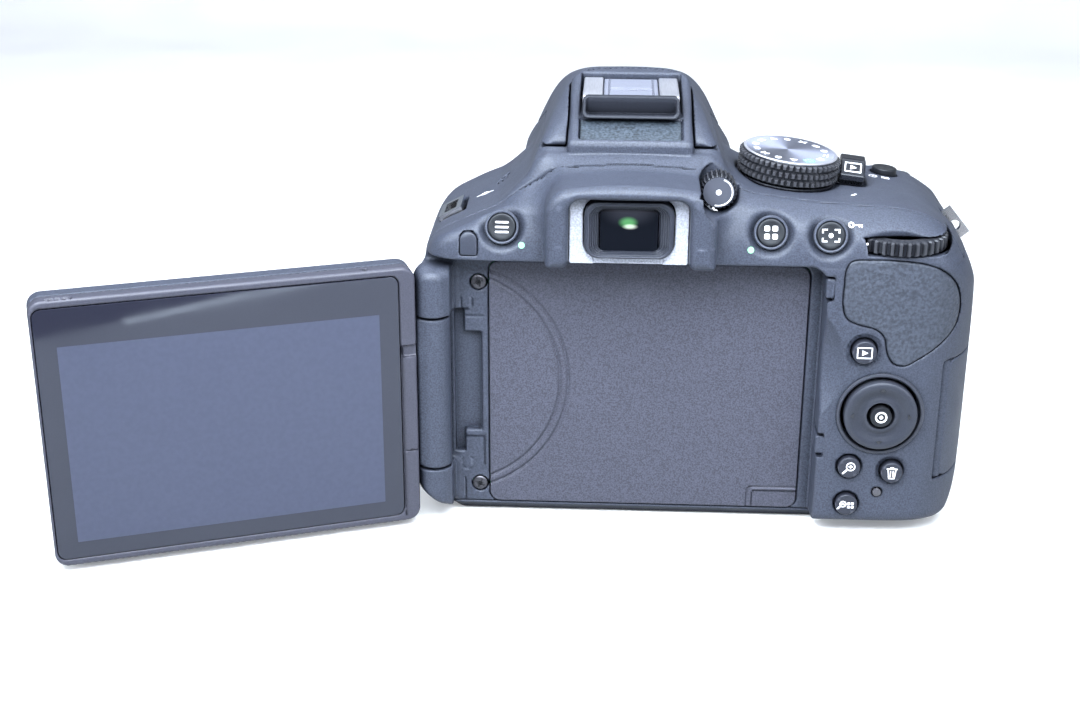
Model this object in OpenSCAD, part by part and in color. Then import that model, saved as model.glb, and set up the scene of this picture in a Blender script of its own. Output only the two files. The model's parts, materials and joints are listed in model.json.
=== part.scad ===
// Digital single-lens reflex camera body with a side-hinged, swivelling monitor.
// Frame: +Z up, +Y towards the subject (out of the lens mount), +X to the photographer's right.
// Origin: mouth of the tripod socket, on the flat base, under the optical axis. Millimetres.

/* [Body] */
// Thickness of the moulded covers
wall = 2.0; // [1.6:0.1:2.4]
// Height of the optical axis above the base
axis_z = 38; // [37:0.5:39]
// Distance from the origin forward to the lens flange
flange_y = 34.5; // [34:0.1:35]
// Gap between neighbouring covers
seam = 0.12; // [0.1:0.01:0.2]

/* [Monitor] */
// Width of the monitor, hinge side to free side
mon_w = 80; // [79:0.5:80]
// Height of the monitor
mon_h = 61; // [60:0.5:61]
// Thickness of the monitor
mon_t = 8; // [7.6:0.1:8]
// Angle by which the opened monitor stops short of fully open at rest
mon_rest = 20; // [10:1:30]
// Width of the display's active area
lcd_w = 67.6; // [66:0.1:68]
// Height of the display's active area
lcd_h = 45.1; // [44:0.1:46]

/* [Controls] */
// Radius of the mode dial
dial_r = 10.6; // [10:0.1:10.8]
// Number of grip teeth on the mode dial
dial_teeth = 44; // [36:1:48]
// Radius of the rear command dial
wheel_r = 11; // [10.6:0.1:11.2]
// Number of ribs on the rear command dial
wheel_ribs = 36; // [30:1:40]
// Radius of the multi selector disc
pad_r = 8.1; // [7.8:0.1:8.2]
// Clearance around every button
btn_gap = 0.2; // [0.15:0.01:0.3]

/* [Lens mount] */
// Radius of the mount ring's throat
throat_r = 23.5; // [23.4:0.1:23.6]
// Radius inside the bayonet tabs
tab_r = 22; // [21.8:0.1:22.1]
// Outer radius of the mount ring
ring_r = 29; // [28.6:0.1:29]
// Wall radius of the tripod socket's thread
tripod_r = 2.6; // [2.5:0.05:2.7]

/* [Hidden] */
$fn = 64;

// ---- outlines: measured points ----
// Plan outline, X then Y
plan_pts = [[-46,-10],[-45.6,-20],[-43.6,-26],[-39,-29.6],[-30,-30.6],[43,-31],[60,-31],[67,-29.6],
  [72.5,-25.4],[76.5,-18.6],[79,-8],[79.3,4],[78.2,16],[76,26],[72,33],[66,36.8],[58,38],[50.5,36],
  [45,31],[42,24.5],[39.5,18.5],[35,15.2],[28,14.2],[-36,14.2],[-42,12],[-45.2,7],[-46,0]];
// Rear silhouette without the viewfinder hump, X then Z
rear_pts = [[-42,0],[-45,1.2],[-46,4.5],[-46,58],[-45,64],[-42,67.6],[-36,71],[-29,74],[-22,76.6],
  [0,78],[24,78],[36,76.9],[50,75.9],[60,74.9],[66,72.8],[71,69],[75,64.5],[77.8,58.5],[79.3,50],
  [79.3,16],[78.5,8],[76.2,3.2],[72,0.5],[69,0]];
// Side profile of the body, Y then Z
side_pts = [[-26,0],[-29.4,1.4],[-31,4],[-31,64.6],[-27.2,75.4],[-24.6,78.4],[-21,80],[9,80],
  [13,77.0],[17.5,71.7],[25,67.8],[33,64.3],[36.6,61],[38.5,55.6],[38.5,6],[35,1.4],[30,0]];
// Viewfinder hump from behind, X then Z
hump_rear_pts = [[-26,60],[-24.4,77],[-22.3,80.4],[-20.6,84.6],[-18.8,88.6],[-16.4,93],
  [-13.2,96.3],[-9,98],[9,98],[13.2,96.3],[16.4,93],[18.8,88.6],[20.6,84.6],[22.3,80.4],
  [24.4,77],[26,60]];
// Viewfinder hump from the side, Y then Z
hump_side_pts = [[-22,60],[-21.5,80],[-19.5,85.1],[-16.4,85.2],[-15.4,88.4],[-8,92.3],[0,95.2],
  [8,97.3],[14,98],[20,96.6],[26,92.6],[30.5,86.4],[32.4,79],[32.4,60]];
// Thumb rest outline on the rear, X then Z
thumb_pts = [[47.6,65.2],[46.5,62.8],[46.5,55.4],[47.8,52.6],[50.4,51.2],[54.2,50.2],[56,48],
  [56.8,44.6],[58.4,42.4],[60.6,41.8],[64,43.6],[70.4,48.4],[72.2,51],[72.3,55.6],[70.2,60.6],
  [66,64.2],[60,65.6],[52,65.8]];
// Centre block that carries the hot shoe, Y then Z
shoe_block_pts = [[-20,80],[-20,87.6],[-19,88.9],[0,94.2],[9,96.9],[12.4,98],[15.5,98],[15.5,80]];
// Half of the flash head's inner drum, radius then distance across from one end
drum_pts = [[19,0],[23.6,2.6],[26.4,6.4],[27.6,10.4]];

// ---- places shared between pieces ----
rear_y = -31;                      // flat rear skin
front_y = 14.2;                    // flat front skin beside the mount
base_split_z = 2.7;                // joint of the base with the covers above
top_split_z = 64;                  // joint of the top and front covers
side_split_y = -8;                 // joint of the rear and front covers
deck_split_y = -21.6;              // joint of the rear and top covers
slope = 19.3;                      // lean of the upper rear surface
eye_z = 72;                        // eyepiece centre
rear_screws = [[-32.9, 56.6], [-32.9, 7.2]];                  // X, Z
base_screws = [[-38, -12], [-38, 6], [38, -14], [62, -19.5]]; // X, Y
screw_seat_r = 1.85;
socket_r = 6;                      // outside of the tripod socket

swing = [-42.8, -25.9];            // monitor swing axis, X and Y
monitor_z = 32;                    // monitor mid height
knuckles = [[4.2, 13.6], [50.4, 58]]; // fixed hinge knuckles, bottom and top Z
edge_x = 5.3;                      // monitor edge, from the swing axis
glass_z = 3.1;                     // glass plane, from the swing axis
tilt_z = glass_z - mon_t / 2;      // tilt axis, from the swing axis
lcd_x = edge_x + mon_w / 2 + 1.1;  // display centre in the monitor frame
lcd_y = 2.3;
glass_recess = [76.6, 57.6];
glass_x = edge_x + 2.8 + glass_recess.x / 2;

flash_axis_y = -14.2;              // flash hinge axis
flash_axis_z = 87.0;
shoe_block_half = 13.6;            // half width of the centre block
drum_half = 13.65;                 // half width of the drum

mount_bore_r = 28;                 // opening through the covers
ring_back_y = 31.4;                // rear face of the mount ring
ring_screw_r = 26.3;               // distance of the ring's screws from the axis
lock_pin_r = 26.2;                 // distance of the lock pin from the axis

front_lamp = [31.5, front_y, 58];
small_lamp = [57.1, rear_y, 11.3];
sloped_lamp = [-34.2, -29.94, 67.6];
wheel_place = [58.5, -21, 66.4];   // bottom of the command dial's slot
diopter_place = [18.9, -24, 79.4];
selector_place = [56.3, rear_y, 30.5];
flash_button_place = [-27.5, 13, 71];
lever_angle = -4;

card_hinge = [69.94, -25.16];      // just under the skin, X and Y
card_angle = atan2(0.607, 0.795);  // direction of the skin at the hinge
card_hinge_r = 1.7;
terminal_hinge = [-44.7, 8.6];     // X and Y
battery_hinge = [51.0, -12.9, 1.2];

// Standard buttons: place, rotation, radius, height proud of the skin
on_slope = [90 - slope, 0, 0];
on_rear = [90, 0, 0];
on_front = [-90, 0, 0];
menu_spec = [[-27.2, -28.62, 71.3], on_slope, 3.1, 0.5];
quick_spec = [[30.3, -28.66, 71.2], on_slope, 3.1, 0.5];
ae_lock_spec = [[43, -28.8, 70.8], on_slope, 3.1, 0.5];
play_spec = [[51.7, rear_y, 45.3], on_rear, 2.7, 0.9];
zoom_in_spec = [[50.4, rear_y, 17.6], on_rear, 2.55, 0.6];
zoom_out_spec = [[50.4, rear_y, 8.4], on_rear, 2.55, 0.6];
delete_spec = [[59.9, rear_y, 16.6], on_rear, 2.5, 0.6];
info_spec = [[59.0, 7.6, 75.5], [0, 6, 0], 2.9, 0.8];
exposure_spec = [[50.4, 20.8, 69.9], [-26, 0, 0], 2.5, 0.8];
movie_spec = [[44.8, 17.2, 71.7], [-30, 0, 0], 2.1, 0.6];
release_spec = [[-33.5, front_y, 32], on_front, 4.2, 2.0];
function_spec = [[-38.2, 12.9, 52], on_front, 2.4, 1.0];

// ---- helpers ----
function at_z(point, z) = [point.x, point.y, z];

// Profile in Y, Z (along_x) or X, Z (along_y), extruded between two stations
module along_x(start, end)
  translate([start, 0, 0]) rotate([90, 0, 90]) linear_extrude(end - start) children();
module along_y(start, end)
  translate([0, end, 0]) rotate([90, 0, 0]) linear_extrude(end - start) children();

// Box between two opposite corners; cutting boxes simply run past the body
module box(low, high) translate(low) cube(high - low);

module post(base, height, radius) translate(base) cylinder(h = height, r = radius);

module rounded_rect(width, height, radius) {
  square([width - 2 * radius, height], center = true);
  square([width, height - 2 * radius], center = true);
  for (sx = [-1, 1], sy = [-1, 1])
    translate([sx * (width / 2 - radius), sy * (height / 2 - radius)]) circle(radius, $fn = 32);
}

module toothed_disc(radius, teeth, depth, height)
  linear_extrude(height) polygon([
    for (i = [0 : 2 * teeth - 1])
      let(rim = i % 2 == 0 ? radius : radius - depth)
      [rim * cos(180 * i / teeth), rim * sin(180 * i / teeth)]]);

// ---- frames: local z points out of the camera ----
module rear_face(place, lean = 0) translate(place) rotate([90 - lean, 0, 0]) children();
module front_face(place) translate(place) rotate([-90, 0, 0]) children();
module on_axis(y = 0) front_face([0, y, axis_z]) children();
module on_dial() translate([35.2, -5, 76.8]) rotate([2, 6, 0]) children();
module on_shutter() translate([60.5, 25, 67.7]) rotate([-24, 0, 0]) children();
// Local x away from the hinge, local y down, local z out of the glass
module on_monitor()
  translate(at_z(swing, monitor_z)) rotate([0, 0, 180 + mon_rest]) rotate([-90, 0, 0]) children();
// Local y runs down the mirror, forward from its hinge
module on_mirror() translate([0, -0.9, 52.8]) rotate([-45, 0, 0]) children();
module on_flash_axis(x) translate([x, flash_axis_y, flash_axis_z]) rotate([0, 90, 0]) children();
module at_left_lug(lift = 0) translate([-39.6, -9, 69.4 + lift]) rotate([0, -28, 0]) children();
module at_right_lug() translate([73.4, -3.5, 66.2]) rotate([0, 50, 0]) children();
module at_ring_screws(height)
  for (angle = [45, 135, 225, 315])
    rotate([0, 0, angle]) translate([ring_screw_r, 0, height]) children();

// ---- standard button and its stepped hole ----
module at_button(spec) translate(spec[0]) rotate(spec[1]) children();
module button(spec, crown = 0.35) {
  radius = spec[2];
  proud = spec[3];
  at_button(spec) union() {
    post([0, 0, -2.6], 2.6 + proud - crown, radius);
    translate([0, 0, proud - crown - 0.001]) cylinder(h = crown, r1 = radius, r2 = radius - 0.5);
    post([0, 0, -2.9], 0.9, radius + 0.5);
  }
}
module button_hole(spec, extra = 0) {
  radius = spec[2] + extra;
  at_button(spec) union() {
    post([0, 0, -6], 16, radius + btn_gap);
    post([0, 0, -6], 4.3, radius + 0.5 + btn_gap);
  }
}

// ---- envelope ----
module body_solid() intersection() {
  linear_extrude(82) polygon(plan_pts);
  along_y(-40, 40) polygon(rear_pts);
  along_x(-50, 82) polygon(side_pts);
}
module hump_solid() intersection() {
  along_y(-22, 33) polygon(hump_rear_pts);
  along_x(-30, 30) polygon(hump_side_pts);
}
module mount_boss() on_axis(8) cylinder(h = 25.4, r1 = 33.6, r2 = 31);
module eyepiece_solid() intersection() {
  along_y(-38, -20) polygon([[-17.6,65],[17.6,65],[17.6,78.5],[16.4,81.6],[13.4,83.4],
    [-13.4,83.4],[-16.4,81.6],[-17.6,78.5]]);
  along_x(-18, 18) polygon([[-38,65],[-38,79.6],[-36,82.4],[-31,83.4],[-20,83.4],[-20,65]]);
}

// Hollow inside the covers
module body_cavity() intersection() {
  translate([0, 0, wall]) linear_extrude(82) offset(delta = -2.8) polygon(plan_pts);
  along_y(-40, 40) offset(delta = -wall) polygon(rear_pts);
  along_x(-50, 82) offset(delta = -wall) polygon(side_pts);
  union() {
    box([-50, -20.4, 0], [82, 40, 82]);
    box([45.2, -40, 0], [82, 40, 82]);
    box([-50, -40, 66.2], [82, 40, 82]);
  }
}
module hump_cavity() intersection() {
  along_y(-19.2, 29) offset(delta = -1.9) polygon(hump_rear_pts);
  along_x(-30, 30) offset(delta = -1.9) polygon(hump_side_pts);
  box([-30, -30, 55], [30, 40, 83.2]);
}
module plain_shell() difference() {
  body_solid();
  body_cavity();
}
module boss_shell() difference() {
  union() {
    body_solid();
    mount_boss();
  }
  body_cavity();
}

// ---- skin layers and zones ----
module plan_rim(depth) difference() {
  polygon(plan_pts);
  offset(delta = -depth) polygon(plan_pts);
}
module thumb_layer(depth) intersection() {
  along_y(-40, -16) polygon(thumb_pts);
  translate([0, 0, 38]) linear_extrude(32) plan_rim(depth);
  along_x(40, 80) polygon([[-40,38],[-16,38],[-16,70],[-29.2,70],[-31,64.8],[-31.2,38]]);
}
module grip_layer(depth, gap)
  translate([0, 0, 8 - gap]) linear_extrude(52 + 2 * gap) intersection() {
    plan_rim(depth);
    offset(delta = gap) polygon([[40.2,9.5],[38,13],[38,45],[85,45],[85,9.5]]);
  }
module door_skin(bottom, height, depth) difference() {
  translate([0, 0, bottom]) linear_extrude(height) polygon(plan_pts);
  translate([0, 0, bottom - 1]) linear_extrude(height + 2) offset(delta = -depth) polygon(plan_pts);
}
module card_zone(gap) intersection() {
  box([card_hinge.x - 3, card_hinge.y - 6, 13.6 - gap], [82, 5 + gap, 42 + gap]);
  translate(at_z(card_hinge, 0)) rotate([0, 0, card_angle]) translate([-gap, -8, 0])
    cube([60, 60, 60]);
}

// ---- cuts shared by covers ----
module eye_tube_cut() box([-9.6, -33, 66], [9.6, -18, 79]);
module lug_cut() {
  at_left_lug(0.6) cube([6.4, 11, 9], center = true);
  at_right_lug() cube([8.4, 4.6, 5.2], center = true);
}
module wheel_slot() post(wheel_place, 4.4, wheel_r + 0.5);
module diopter_seat() rear_face(diopter_place) post([0, 0, -4], 12, 4.5);
module mount_bore(length) on_axis() {
  cylinder(h = length, r = mount_bore_r);
  post([0, 0, ring_back_y - 0.1], 6, ring_r + 0.15);
}
module terminal_pocket(end_y) box([-47, -14.3, 15.7], [-42, end_y, 58.3]);

// ---- covers ----
module hinge_knuckle(bottom, top) difference() {
  union() {
    post(at_z(swing, bottom), top - bottom, 3.7);
    box([swing.x - 2, swing.y, bottom], [-38.2, -20.5, top]);
  }
  post(at_z(swing, bottom - 1), 20, 1.55);
}
module rear_cover() color("#2b2c30") difference() {
  union() {
    intersection() {
      difference() {
        plain_shell();
        box([-60, -60, -5], [43, -22.5, 64]); // monitor recess
      }
      union() {
        box([-60, -40, base_split_z + seam], [82, side_split_y, top_split_z]);
        box([-60, -40, top_split_z - 0.1], [82, deck_split_y, 84]);
      }
    }
    difference() {
      intersection() {
        eyepiece_solid();
        box([-20, -38.1, 64.8], [20, deck_split_y, 84]);
      }
      box([-12.8, -39, 60], [12.8, -32.0, 78.7]);
      box([-10.2, -34, 64], [10.2, -20, 80.2]);
    }
    for (span = knuckles) hinge_knuckle(span[0], span[1]);
    // card door's hinge lugs
    intersection() {
      body_solid();
      for (z = [10.6, 42.3]) post(at_z(card_hinge, z), 2.8, 2.6);
    }
  }
  // window for the hinge barrel
  post(at_z(swing, knuckles[0][1]), knuckles[1][0] - knuckles[0][1], 4.3);
  box([-38.4, -26, 20.9], [-32.4, -20.9, 44.9]);
  box([-38.4, -26, 15.4], [-36.2, -20.9, 50.3]);
  // seat of the recess panel
  box([-30.8, -22.7, 2.85], [40.25, -21.9, 61.8]);
  for (spec = [menu_spec, quick_spec, ae_lock_spec, play_spec, zoom_in_spec, zoom_out_spec,
      delete_spec])
    button_hole(spec);
  rear_face(selector_place) {
    post([0, 0, -3.2], 8, pad_r + 0.45);
    post([0, 0, -8], 6, 3.2);
  }
  wheel_slot();
  diopter_seat();
  thumb_layer(1.3);
  card_zone(0.15);
  // card door's hinge channel and pin holes
  translate(at_z(card_hinge, 13.45)) {
    cylinder(h = 28.7, r = card_hinge_r + 0.13);
    rotate([0, 0, card_angle]) translate([-card_hinge_r - 0.13, -4, 0]) cube([2, 4, 28.7]);
  }
  post(at_z(card_hinge, 12.2), 31.6, 0.86);
  for (place = rear_screws)
    rear_face([place[0], -22.5, place[1]]) cylinder(h = 6, r = screw_seat_r, center = true);
  rear_face(small_lamp) cylinder(h = 8, r = 1.1, center = true);
  rear_face(sloped_lamp, slope) cylinder(h = 14, r = 1.9, center = true);
  terminal_pocket(10);
  lug_cut();
  eye_tube_cut();
}

module front_cover() color("#2d2e32") difference() {
  intersection() {
    boss_shell();
    box([-60, side_split_y + seam, base_split_z + seam], [82, 40, top_split_z - seam]);
  }
  grip_layer(1.3, 0.1);
  mount_bore(40);
  box([-17, 4, 56], [17, 22, 70]);
  card_zone(0.15);
  terminal_pocket(9.2);
  post(at_z(terminal_hinge, 15.7), 42.6, 1.35);
  lug_cut();
  button_hole(release_spec);
  button_hole(function_spec, 0.1);
  front_face(front_lamp) post([0, 0, -4], 10, 3.1);
  // two hairline bores: low beside the mount, and high on the grip
  front_face([-17.5, 33.4, 22]) post([0, 0, -30], 40, 0.01);
  front_face([47, 31, 60.5]) post([0, 0, -4], 10, 0.01);
}

module bottom_cover() color("#26272a") difference() {
  intersection() {
    plain_shell();
    union() {
      box([-60, -22.4, -1], [82, 40, base_split_z]);
      box([43.05, -40, -1], [82, 40, base_split_z]);
    }
  }
  post([0, 0, -1], 9, socket_r + 0.1);
  box([49.6, -13.2, -1], [70.2, 31.2, 6]); // battery door opening
  for (place = base_screws)
    translate(at_z(place, -1)) {
      cylinder(h = 9, r = 0.95);
      cylinder(h = 2.0, r = screw_seat_r);
    }
}

// Drum about the flash hinge, inside which the centre block stays
module flash_drum(gap) {
  full = 2 * (drum_half + gap);
  on_flash_axis(0) translate([0, 0, -drum_half - gap]) rotate_extrude($fn = 96)
    polygon(concat(
      [[0, 0]],
      [for (p = drum_pts) [p.x + gap, p.y]],
      [[27.9 + gap, drum_half + gap]],
      [for (i = [3 : -1 : 0]) [drum_pts[i].x + gap, full - drum_pts[i].y]],
      [[0, full]]));
}
module shoe_block() difference() {
  intersection() {
    along_x(-shoe_block_half, shoe_block_half) polygon(shoe_block_pts);
    union() {
      flash_drum(0);
      box([-shoe_block_half, -20, 79], [shoe_block_half, flash_axis_y + 4, 99]);
    }
  }
  // trough for the hot shoe
  along_x(-11.2, 11.2) polygon([[-18.4,88],[-10.4,90.6],[-10.4,91.2],[9.4,91.2],[9.4,99],
    [-12,99],[-18.4,96]]);
  // hollow underneath
  along_x(-11.4, 11.4) polygon([[-17.8,79],[-17.8,86],[-10,88.6],[9,89.2],[9,79]]);
}
module top_cover() color("#303136") difference() {
  union() {
    intersection() {
      boss_shell();
      box([-60, deck_split_y + seam, top_split_z], [82, 40, 84]);
    }
    difference() {
      intersection() {
        hump_solid();
        along_x(-30, 30) polygon([[-21.48,64],[-21.48,85.1],[16,85.1],[34,78.1],[34,64]]);
      }
      hump_cavity();
    }
    shoe_block();
  }
  box([-15, -19.4, 60], [15, 22, 83]);
  mount_bore(33);
  // flash well under the head
  box([-15.5, 16.2, 84.3], [15.5, 27.2, 86]);
  // bores on the flash hinge axis
  for (x = [shoe_block_half, -21.5]) on_flash_axis(x) cylinder(h = 7.9, r = 2.0);
  on_dial() {
    cylinder(h = 12, r = 11.4);
    post([0, 0, -6], 12, 2.6);
  }
  on_dial() rotate([0, 0, lever_angle]) translate([8, -5.8, 0]) cube([10.2, 15.4, 9]);
  on_shutter() {
    cylinder(h = 12, r = 8.1);
    post([0, 0, -6], 12, 4.4);
  }
  for (spec = [info_spec, exposure_spec, movie_spec]) button_hole(spec);
  wheel_slot();
  diopter_seat();
  front_face(flash_button_place) post([0, 0, -7], 14, 2.9);
  // row of small holes in front of the shoe, and three more on the left shoulder
  for (x = [-6.6 : 2.2 : 6.7]) post([x, 11.6, 90], 10, 0.35);
  for (k = [0 : 2]) post([-29.5 + k * 1.1, 2 + k * 1.4, 70], 10, 0.4);
  lug_cut();
  eye_tube_cut();
}

module grip_rubber() color("#202124") grip_layer(1.2, 0);
module thumb_rest() color("#1f2023") thumb_layer(1.2);
module recess_panel() color("#34353a") difference() {
  rear_face([(40.15 - 30.65) / 2, -22.0, 32.3]) linear_extrude(0.6) rounded_rect(70.7, 58.8, 2.4);
  rear_face([35.2, -21, 5.2]) linear_extrude(4, center = true) square([11.2, 5.7], center = true);
}

// ---- eyepiece ----
module eye_block(start, end, width, height)
  along_y(start, end) translate([0, eye_z]) square([width, height], center = true);
module eye_rounded(start, end, width, height, radius)
  along_y(start, end) translate([0, eye_z]) rounded_rect(width, height, radius);

module eyepiece_plate() color("#9a9ca4") difference() {
  box([-12.7, -33.2, 64.9], [12.7, -32.04, 78.6]);
  eye_rounded(-34, -31, 19.3, 13.5, 3.4);
}
module eyepiece_frame() color("#3a3b40") difference() {
  union() {
    eye_rounded(-35.6, -31.9, 19.0, 13.2, 3.3);
    eye_block(-32, -19.6, 17.6, 11.6);
  }
  eye_rounded(-36, -34.4, 16.4, 11.4, 2.4);
  eye_rounded(-34.9, -33.2, 14.8, 10.6, 2.0);
  eye_block(-34, -19, 12.4, 9.2);
}
module eyepiece_lens() color("#15181d", 0.6) eye_block(-33.1, -31, 12.2, 9.0);

// ---- hot shoe ----
module hot_shoe() color("#c9cbd0")
  along_y(-9.6, 8.0) polygon([[-10.7,91.3],[10.7,91.3],[10.7,95.6],[6.3,95.6],[6.3,94.7],
    [9.5,94.7],[9.5,92.4],[-9.5,92.4],[-9.5,94.7],[-6.3,94.7],[-6.3,95.6],[-10.7,95.6]]);
module shoe_cover() color("#1d1e21") union() {
  box([-9.3, -9.8, 92.6], [9.3, 7.8, 94.5]);
  box([-6.1, -9.8, 94.4], [6.1, 7.8, 95.3]);
  difference() {
    box([-10.6, -12, 91.3], [10.6, -9.75, 95.5]);
    box([-9.4, -12.5, 92], [9.4, -11.4, 94.7]);
  }
}

// ---- lens mount ----
module lens_mount() color("#c4c6ca") on_axis() difference() {
  union() {
    translate([0, 0, ring_back_y]) difference() {
      cylinder(h = flange_y - ring_back_y, r = ring_r, $fn = 128);
      translate([0, 0, -1]) cylinder(h = 6, r = throat_r, $fn = 128);
    }
    // three bayonet tabs
    for (angle = [3, 123, 243])
      rotate([0, 0, angle]) translate([0, 0, flange_y - 1.4])
        rotate_extrude(angle = 92, $fn = 128)
          translate([tab_r, 0]) square([throat_r - tab_r + 0.4, 1.4]);
  }
  at_ring_screws(30) {
    cylinder(h = 6, r = 0.9);
    post([0, 0, 3.5], 2, 1.75);
  }
  rotate([0, 0, 180]) post([lock_pin_r, 0, 30], 6, 1.5);
}

module at_contacts(height)
  for (k = [0 : 7]) rotate([0, 0, 6 + k * 6.3]) translate([22, 0, height]) children();
module mount_contacts() color("#c9a74d") union() {
  on_axis() rotate([0, 0, 62]) translate([0, 0, 27.4]) {
    difference() {
      intersection() {
        difference() {
          cylinder(h = 2.6, r = 23.2);
          post([0, 0, -1], 6, 20.6);
        }
        linear_extrude(9) polygon([[0, 0], [40, 0], [40 * cos(56), 40 * sin(56)]]);
      }
      at_contacts(1.4) cylinder(h = 3, r = 0.56);
    }
    at_contacts(1.5) cylinder(h = 1.5, r = 0.5);
  }
}

// ---- fittings ----
// Cross-slotted screw, underside of the head at z = 0
module screw(radius, height) difference() {
  union() {
    cylinder(h = height, r = radius);
    post([0, 0, -2.2], 2.3, 0.85);
  }
  translate([0, 0, height]) {
    cube([2.2, 0.5, 1.2], center = true);
    cube([0.5, 2.2, 1.2], center = true);
  }
}
module screws() color("#5a5c61") union() {
  on_axis() at_ring_screws(33.55) screw(1.65, 0.85);
  for (place = rear_screws) rear_face([place[0], -21.8, place[1]]) screw(1.7, 0.9);
  for (place = base_screws) translate(at_z(place, 0.95)) rotate([180, 0, 0]) screw(1.7, 0.8);
}
module strap_lugs() color("#b9bbc0") union() {
  at_left_lug() difference() {
    cube([5.6, 9.6, 1.4], center = true);
    cube([3.0, 6.4, 3], center = true);
  }
  at_right_lug() difference() {
    cube([7.4, 1.4, 4.4], center = true);
    translate([0.5, 0, 0.3]) rotate([90, 0, 0]) cylinder(h = 4, r = 1.3, center = true);
  }
}
module tripod_socket() color("#8e9096") difference() {
  cylinder(h = 6.4, r = socket_r);
  post([0, 0, -1], 6.6, tripod_r);
}

// ---- optics and electronics ----
module mirror_box() color("#17181a") difference() {
  union() {
    box([-19, -4, axis_z - 19], [19, 22, axis_z + 19]);
    on_axis(21.9) cylinder(h = 9.3, r = 26);
  }
  box([-17.4, -2.6, axis_z - 17.4], [17.4, 22.5, axis_z + 17.2]);
  on_axis(21.8) cylinder(h = 12, r = 23.4);
  box([-12.2, -5, axis_z - 8.2], [12.2, 0, axis_z + 8.2]);
  box([-12.5, 0.6, 50], [12.5, 17.4, 60]);
  box([-15.5, 17, 50], [15.5, 30, axis_z + 17.2]);
  front_face([-lock_pin_r, 20, axis_z]) cylinder(h = 20, r = 1.7);
}
module main_mirror() color("#aab2bd") on_mirror() union() {
  box([-13.4, 0.9, -0.5], [13.4, 28.6, 0.5]);
  rotate([0, 90, 0]) cylinder(h = 28, r = 0.9, center = true);
}
module sub_mirror() color("#8d949d")
  on_mirror() translate([0, 14, -1.9]) rotate([90, 0, 0]) union() {
    box([-7, -11, -0.35], [7, -0.7, 0.35]);
    rotate([0, 90, 0]) cylinder(h = 15, r = 0.7, center = true);
  }
module focusing_screen() color("#d7dde2", 0.5) box([-13.6, -0.4, 57.1], [13.6, 18.4, 58.6]);
module pentamirror() color("#1b1c1f")
  along_x(-13.6, 13.6) polygon([[-1.5,58.8],[17.6,58.8],[19.4,66],[12.6,79.6],[3,82.2],
    [-10,77.6],[-14.6,76],[-14.6,68],[-3,65]]);
module shutter_unit() color("#3b3d42") union() {
  difference() {
    box([-24, -8.6, 20], [24, -4.2, 56]);
    box([-12, -9, axis_z - 8], [12, -4, axis_z + 8]);
  }
  // four curtain blades
  for (k = [0 : 3]) {
    blade_z = axis_z - 7.9 + k * 3.98;
    box([-11.9, -6.9, blade_z], [11.9, -6.6, blade_z + 3.86]);
  }
}
module image_sensor() color("#2f5a55") union() {
  box([-16, -15.6, 25], [16, -12.2, 51]);
  box([-13, -12.1, axis_z - 9.4], [13, -10.8, axis_z + 9.4]);
}
module main_board() color("#1f5c3a") union() {
  box([-42, -19.6, 6], [42, -18.2, 61]);
  // block of sockets behind the terminal cover
  difference() {
    box([-42.4, -18.3, 19], [-36, -4, 55]);
    box([-44, -16, 45], [-40, -8, 52]);
    box([-44, -15, 34], [-40, -9, 41.5]);
    for (z = [28, 22.4]) translate([-44, -11, z]) rotate([0, 90, 0]) cylinder(h = 4, r = 1.8);
  }
  box([-8, -18.3, 8], [12, -16.4, 22]);
  box([20, -18.3, 28], [36, -16.6, 44]);
}
module battery() color("#3c4046") difference() {
  box([51.6, -12, 4], [65.6, 26, 57]);
  for (k = [0 : 3]) box([55 + k * 2, -10, 56], [56.2 + k * 2, -6, 58]);
}
module lamp_windows() color("#d9c9a0", 0.7) union() {
  front_face(front_lamp) post([0, 0, -3.4], 3.6, 2.95);
  rear_face(small_lamp) post([0, 0, -1.6], 1.6, 0.95);
  rear_face(sloped_lamp, slope) post([0, 0, -1.6], 1.7, 1.75);
}

// ---- monitor ----
module monitor_block(bottom, top)
  translate([edge_x + mon_w / 2, 0, bottom]) linear_extrude(top - bottom)
    rounded_rect(mon_w, mon_h, 3);
module tilt_bore()
  translate([edge_x - 1, 0, tilt_z]) rotate([0, 90, 0]) cylinder(h = 6.4, r = 2.06);

module hinge_barrel() color("#26272b") union() {
  post(at_z(swing, 14.0), 35.9, 3.7);
  difference() {
    post(at_z(swing, 5.6), 51, 1.5);
    post(at_z(swing, 14.5), 34, 1.2);
  }
  on_monitor() { // arm that carries the tilt shaft
    box([2.2, -17.6, tilt_z - 3.0], [4.6, 17.6, tilt_z + 3.0]);
    translate([4.4, 0, tilt_z]) rotate([0, 90, 0]) cylinder(h = 5.8, r = 2.0);
  }
}
module monitor_bezel() color("#2a2b2f") on_monitor() difference() {
  monitor_block(glass_z - 3.4, glass_z);
  translate([glass_x, 0, glass_z - 1.1]) linear_extrude(3)
    rounded_rect(glass_recess.x, glass_recess.y, 2);
  translate([lcd_x, lcd_y, glass_z - 4]) linear_extrude(8)
    square([lcd_w + 3, lcd_h + 3], center = true);
  tilt_bore();
}
module monitor_back() color("#2b2c31") on_monitor() difference() {
  monitor_block(glass_z - mon_t, glass_z - 3.5);
  translate([lcd_x, 0, glass_z - mon_t + 1.6]) linear_extrude(8) rounded_rect(lcd_w + 3.4, 55, 1.5);
  tilt_bore();
}
module monitor_glass() color("#10141c") on_monitor()
  translate([glass_x, 0, glass_z - 1.0]) linear_extrude(0.9)
    rounded_rect(glass_recess.x - 0.2, glass_recess.y - 0.2, 1.9);
module lcd_panel() color("#39455c") on_monitor()
  translate([lcd_x, lcd_y, glass_z - 4.8]) linear_extrude(3.7)
    square([lcd_w + 2.8, lcd_h + 2.8], center = true);

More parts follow.
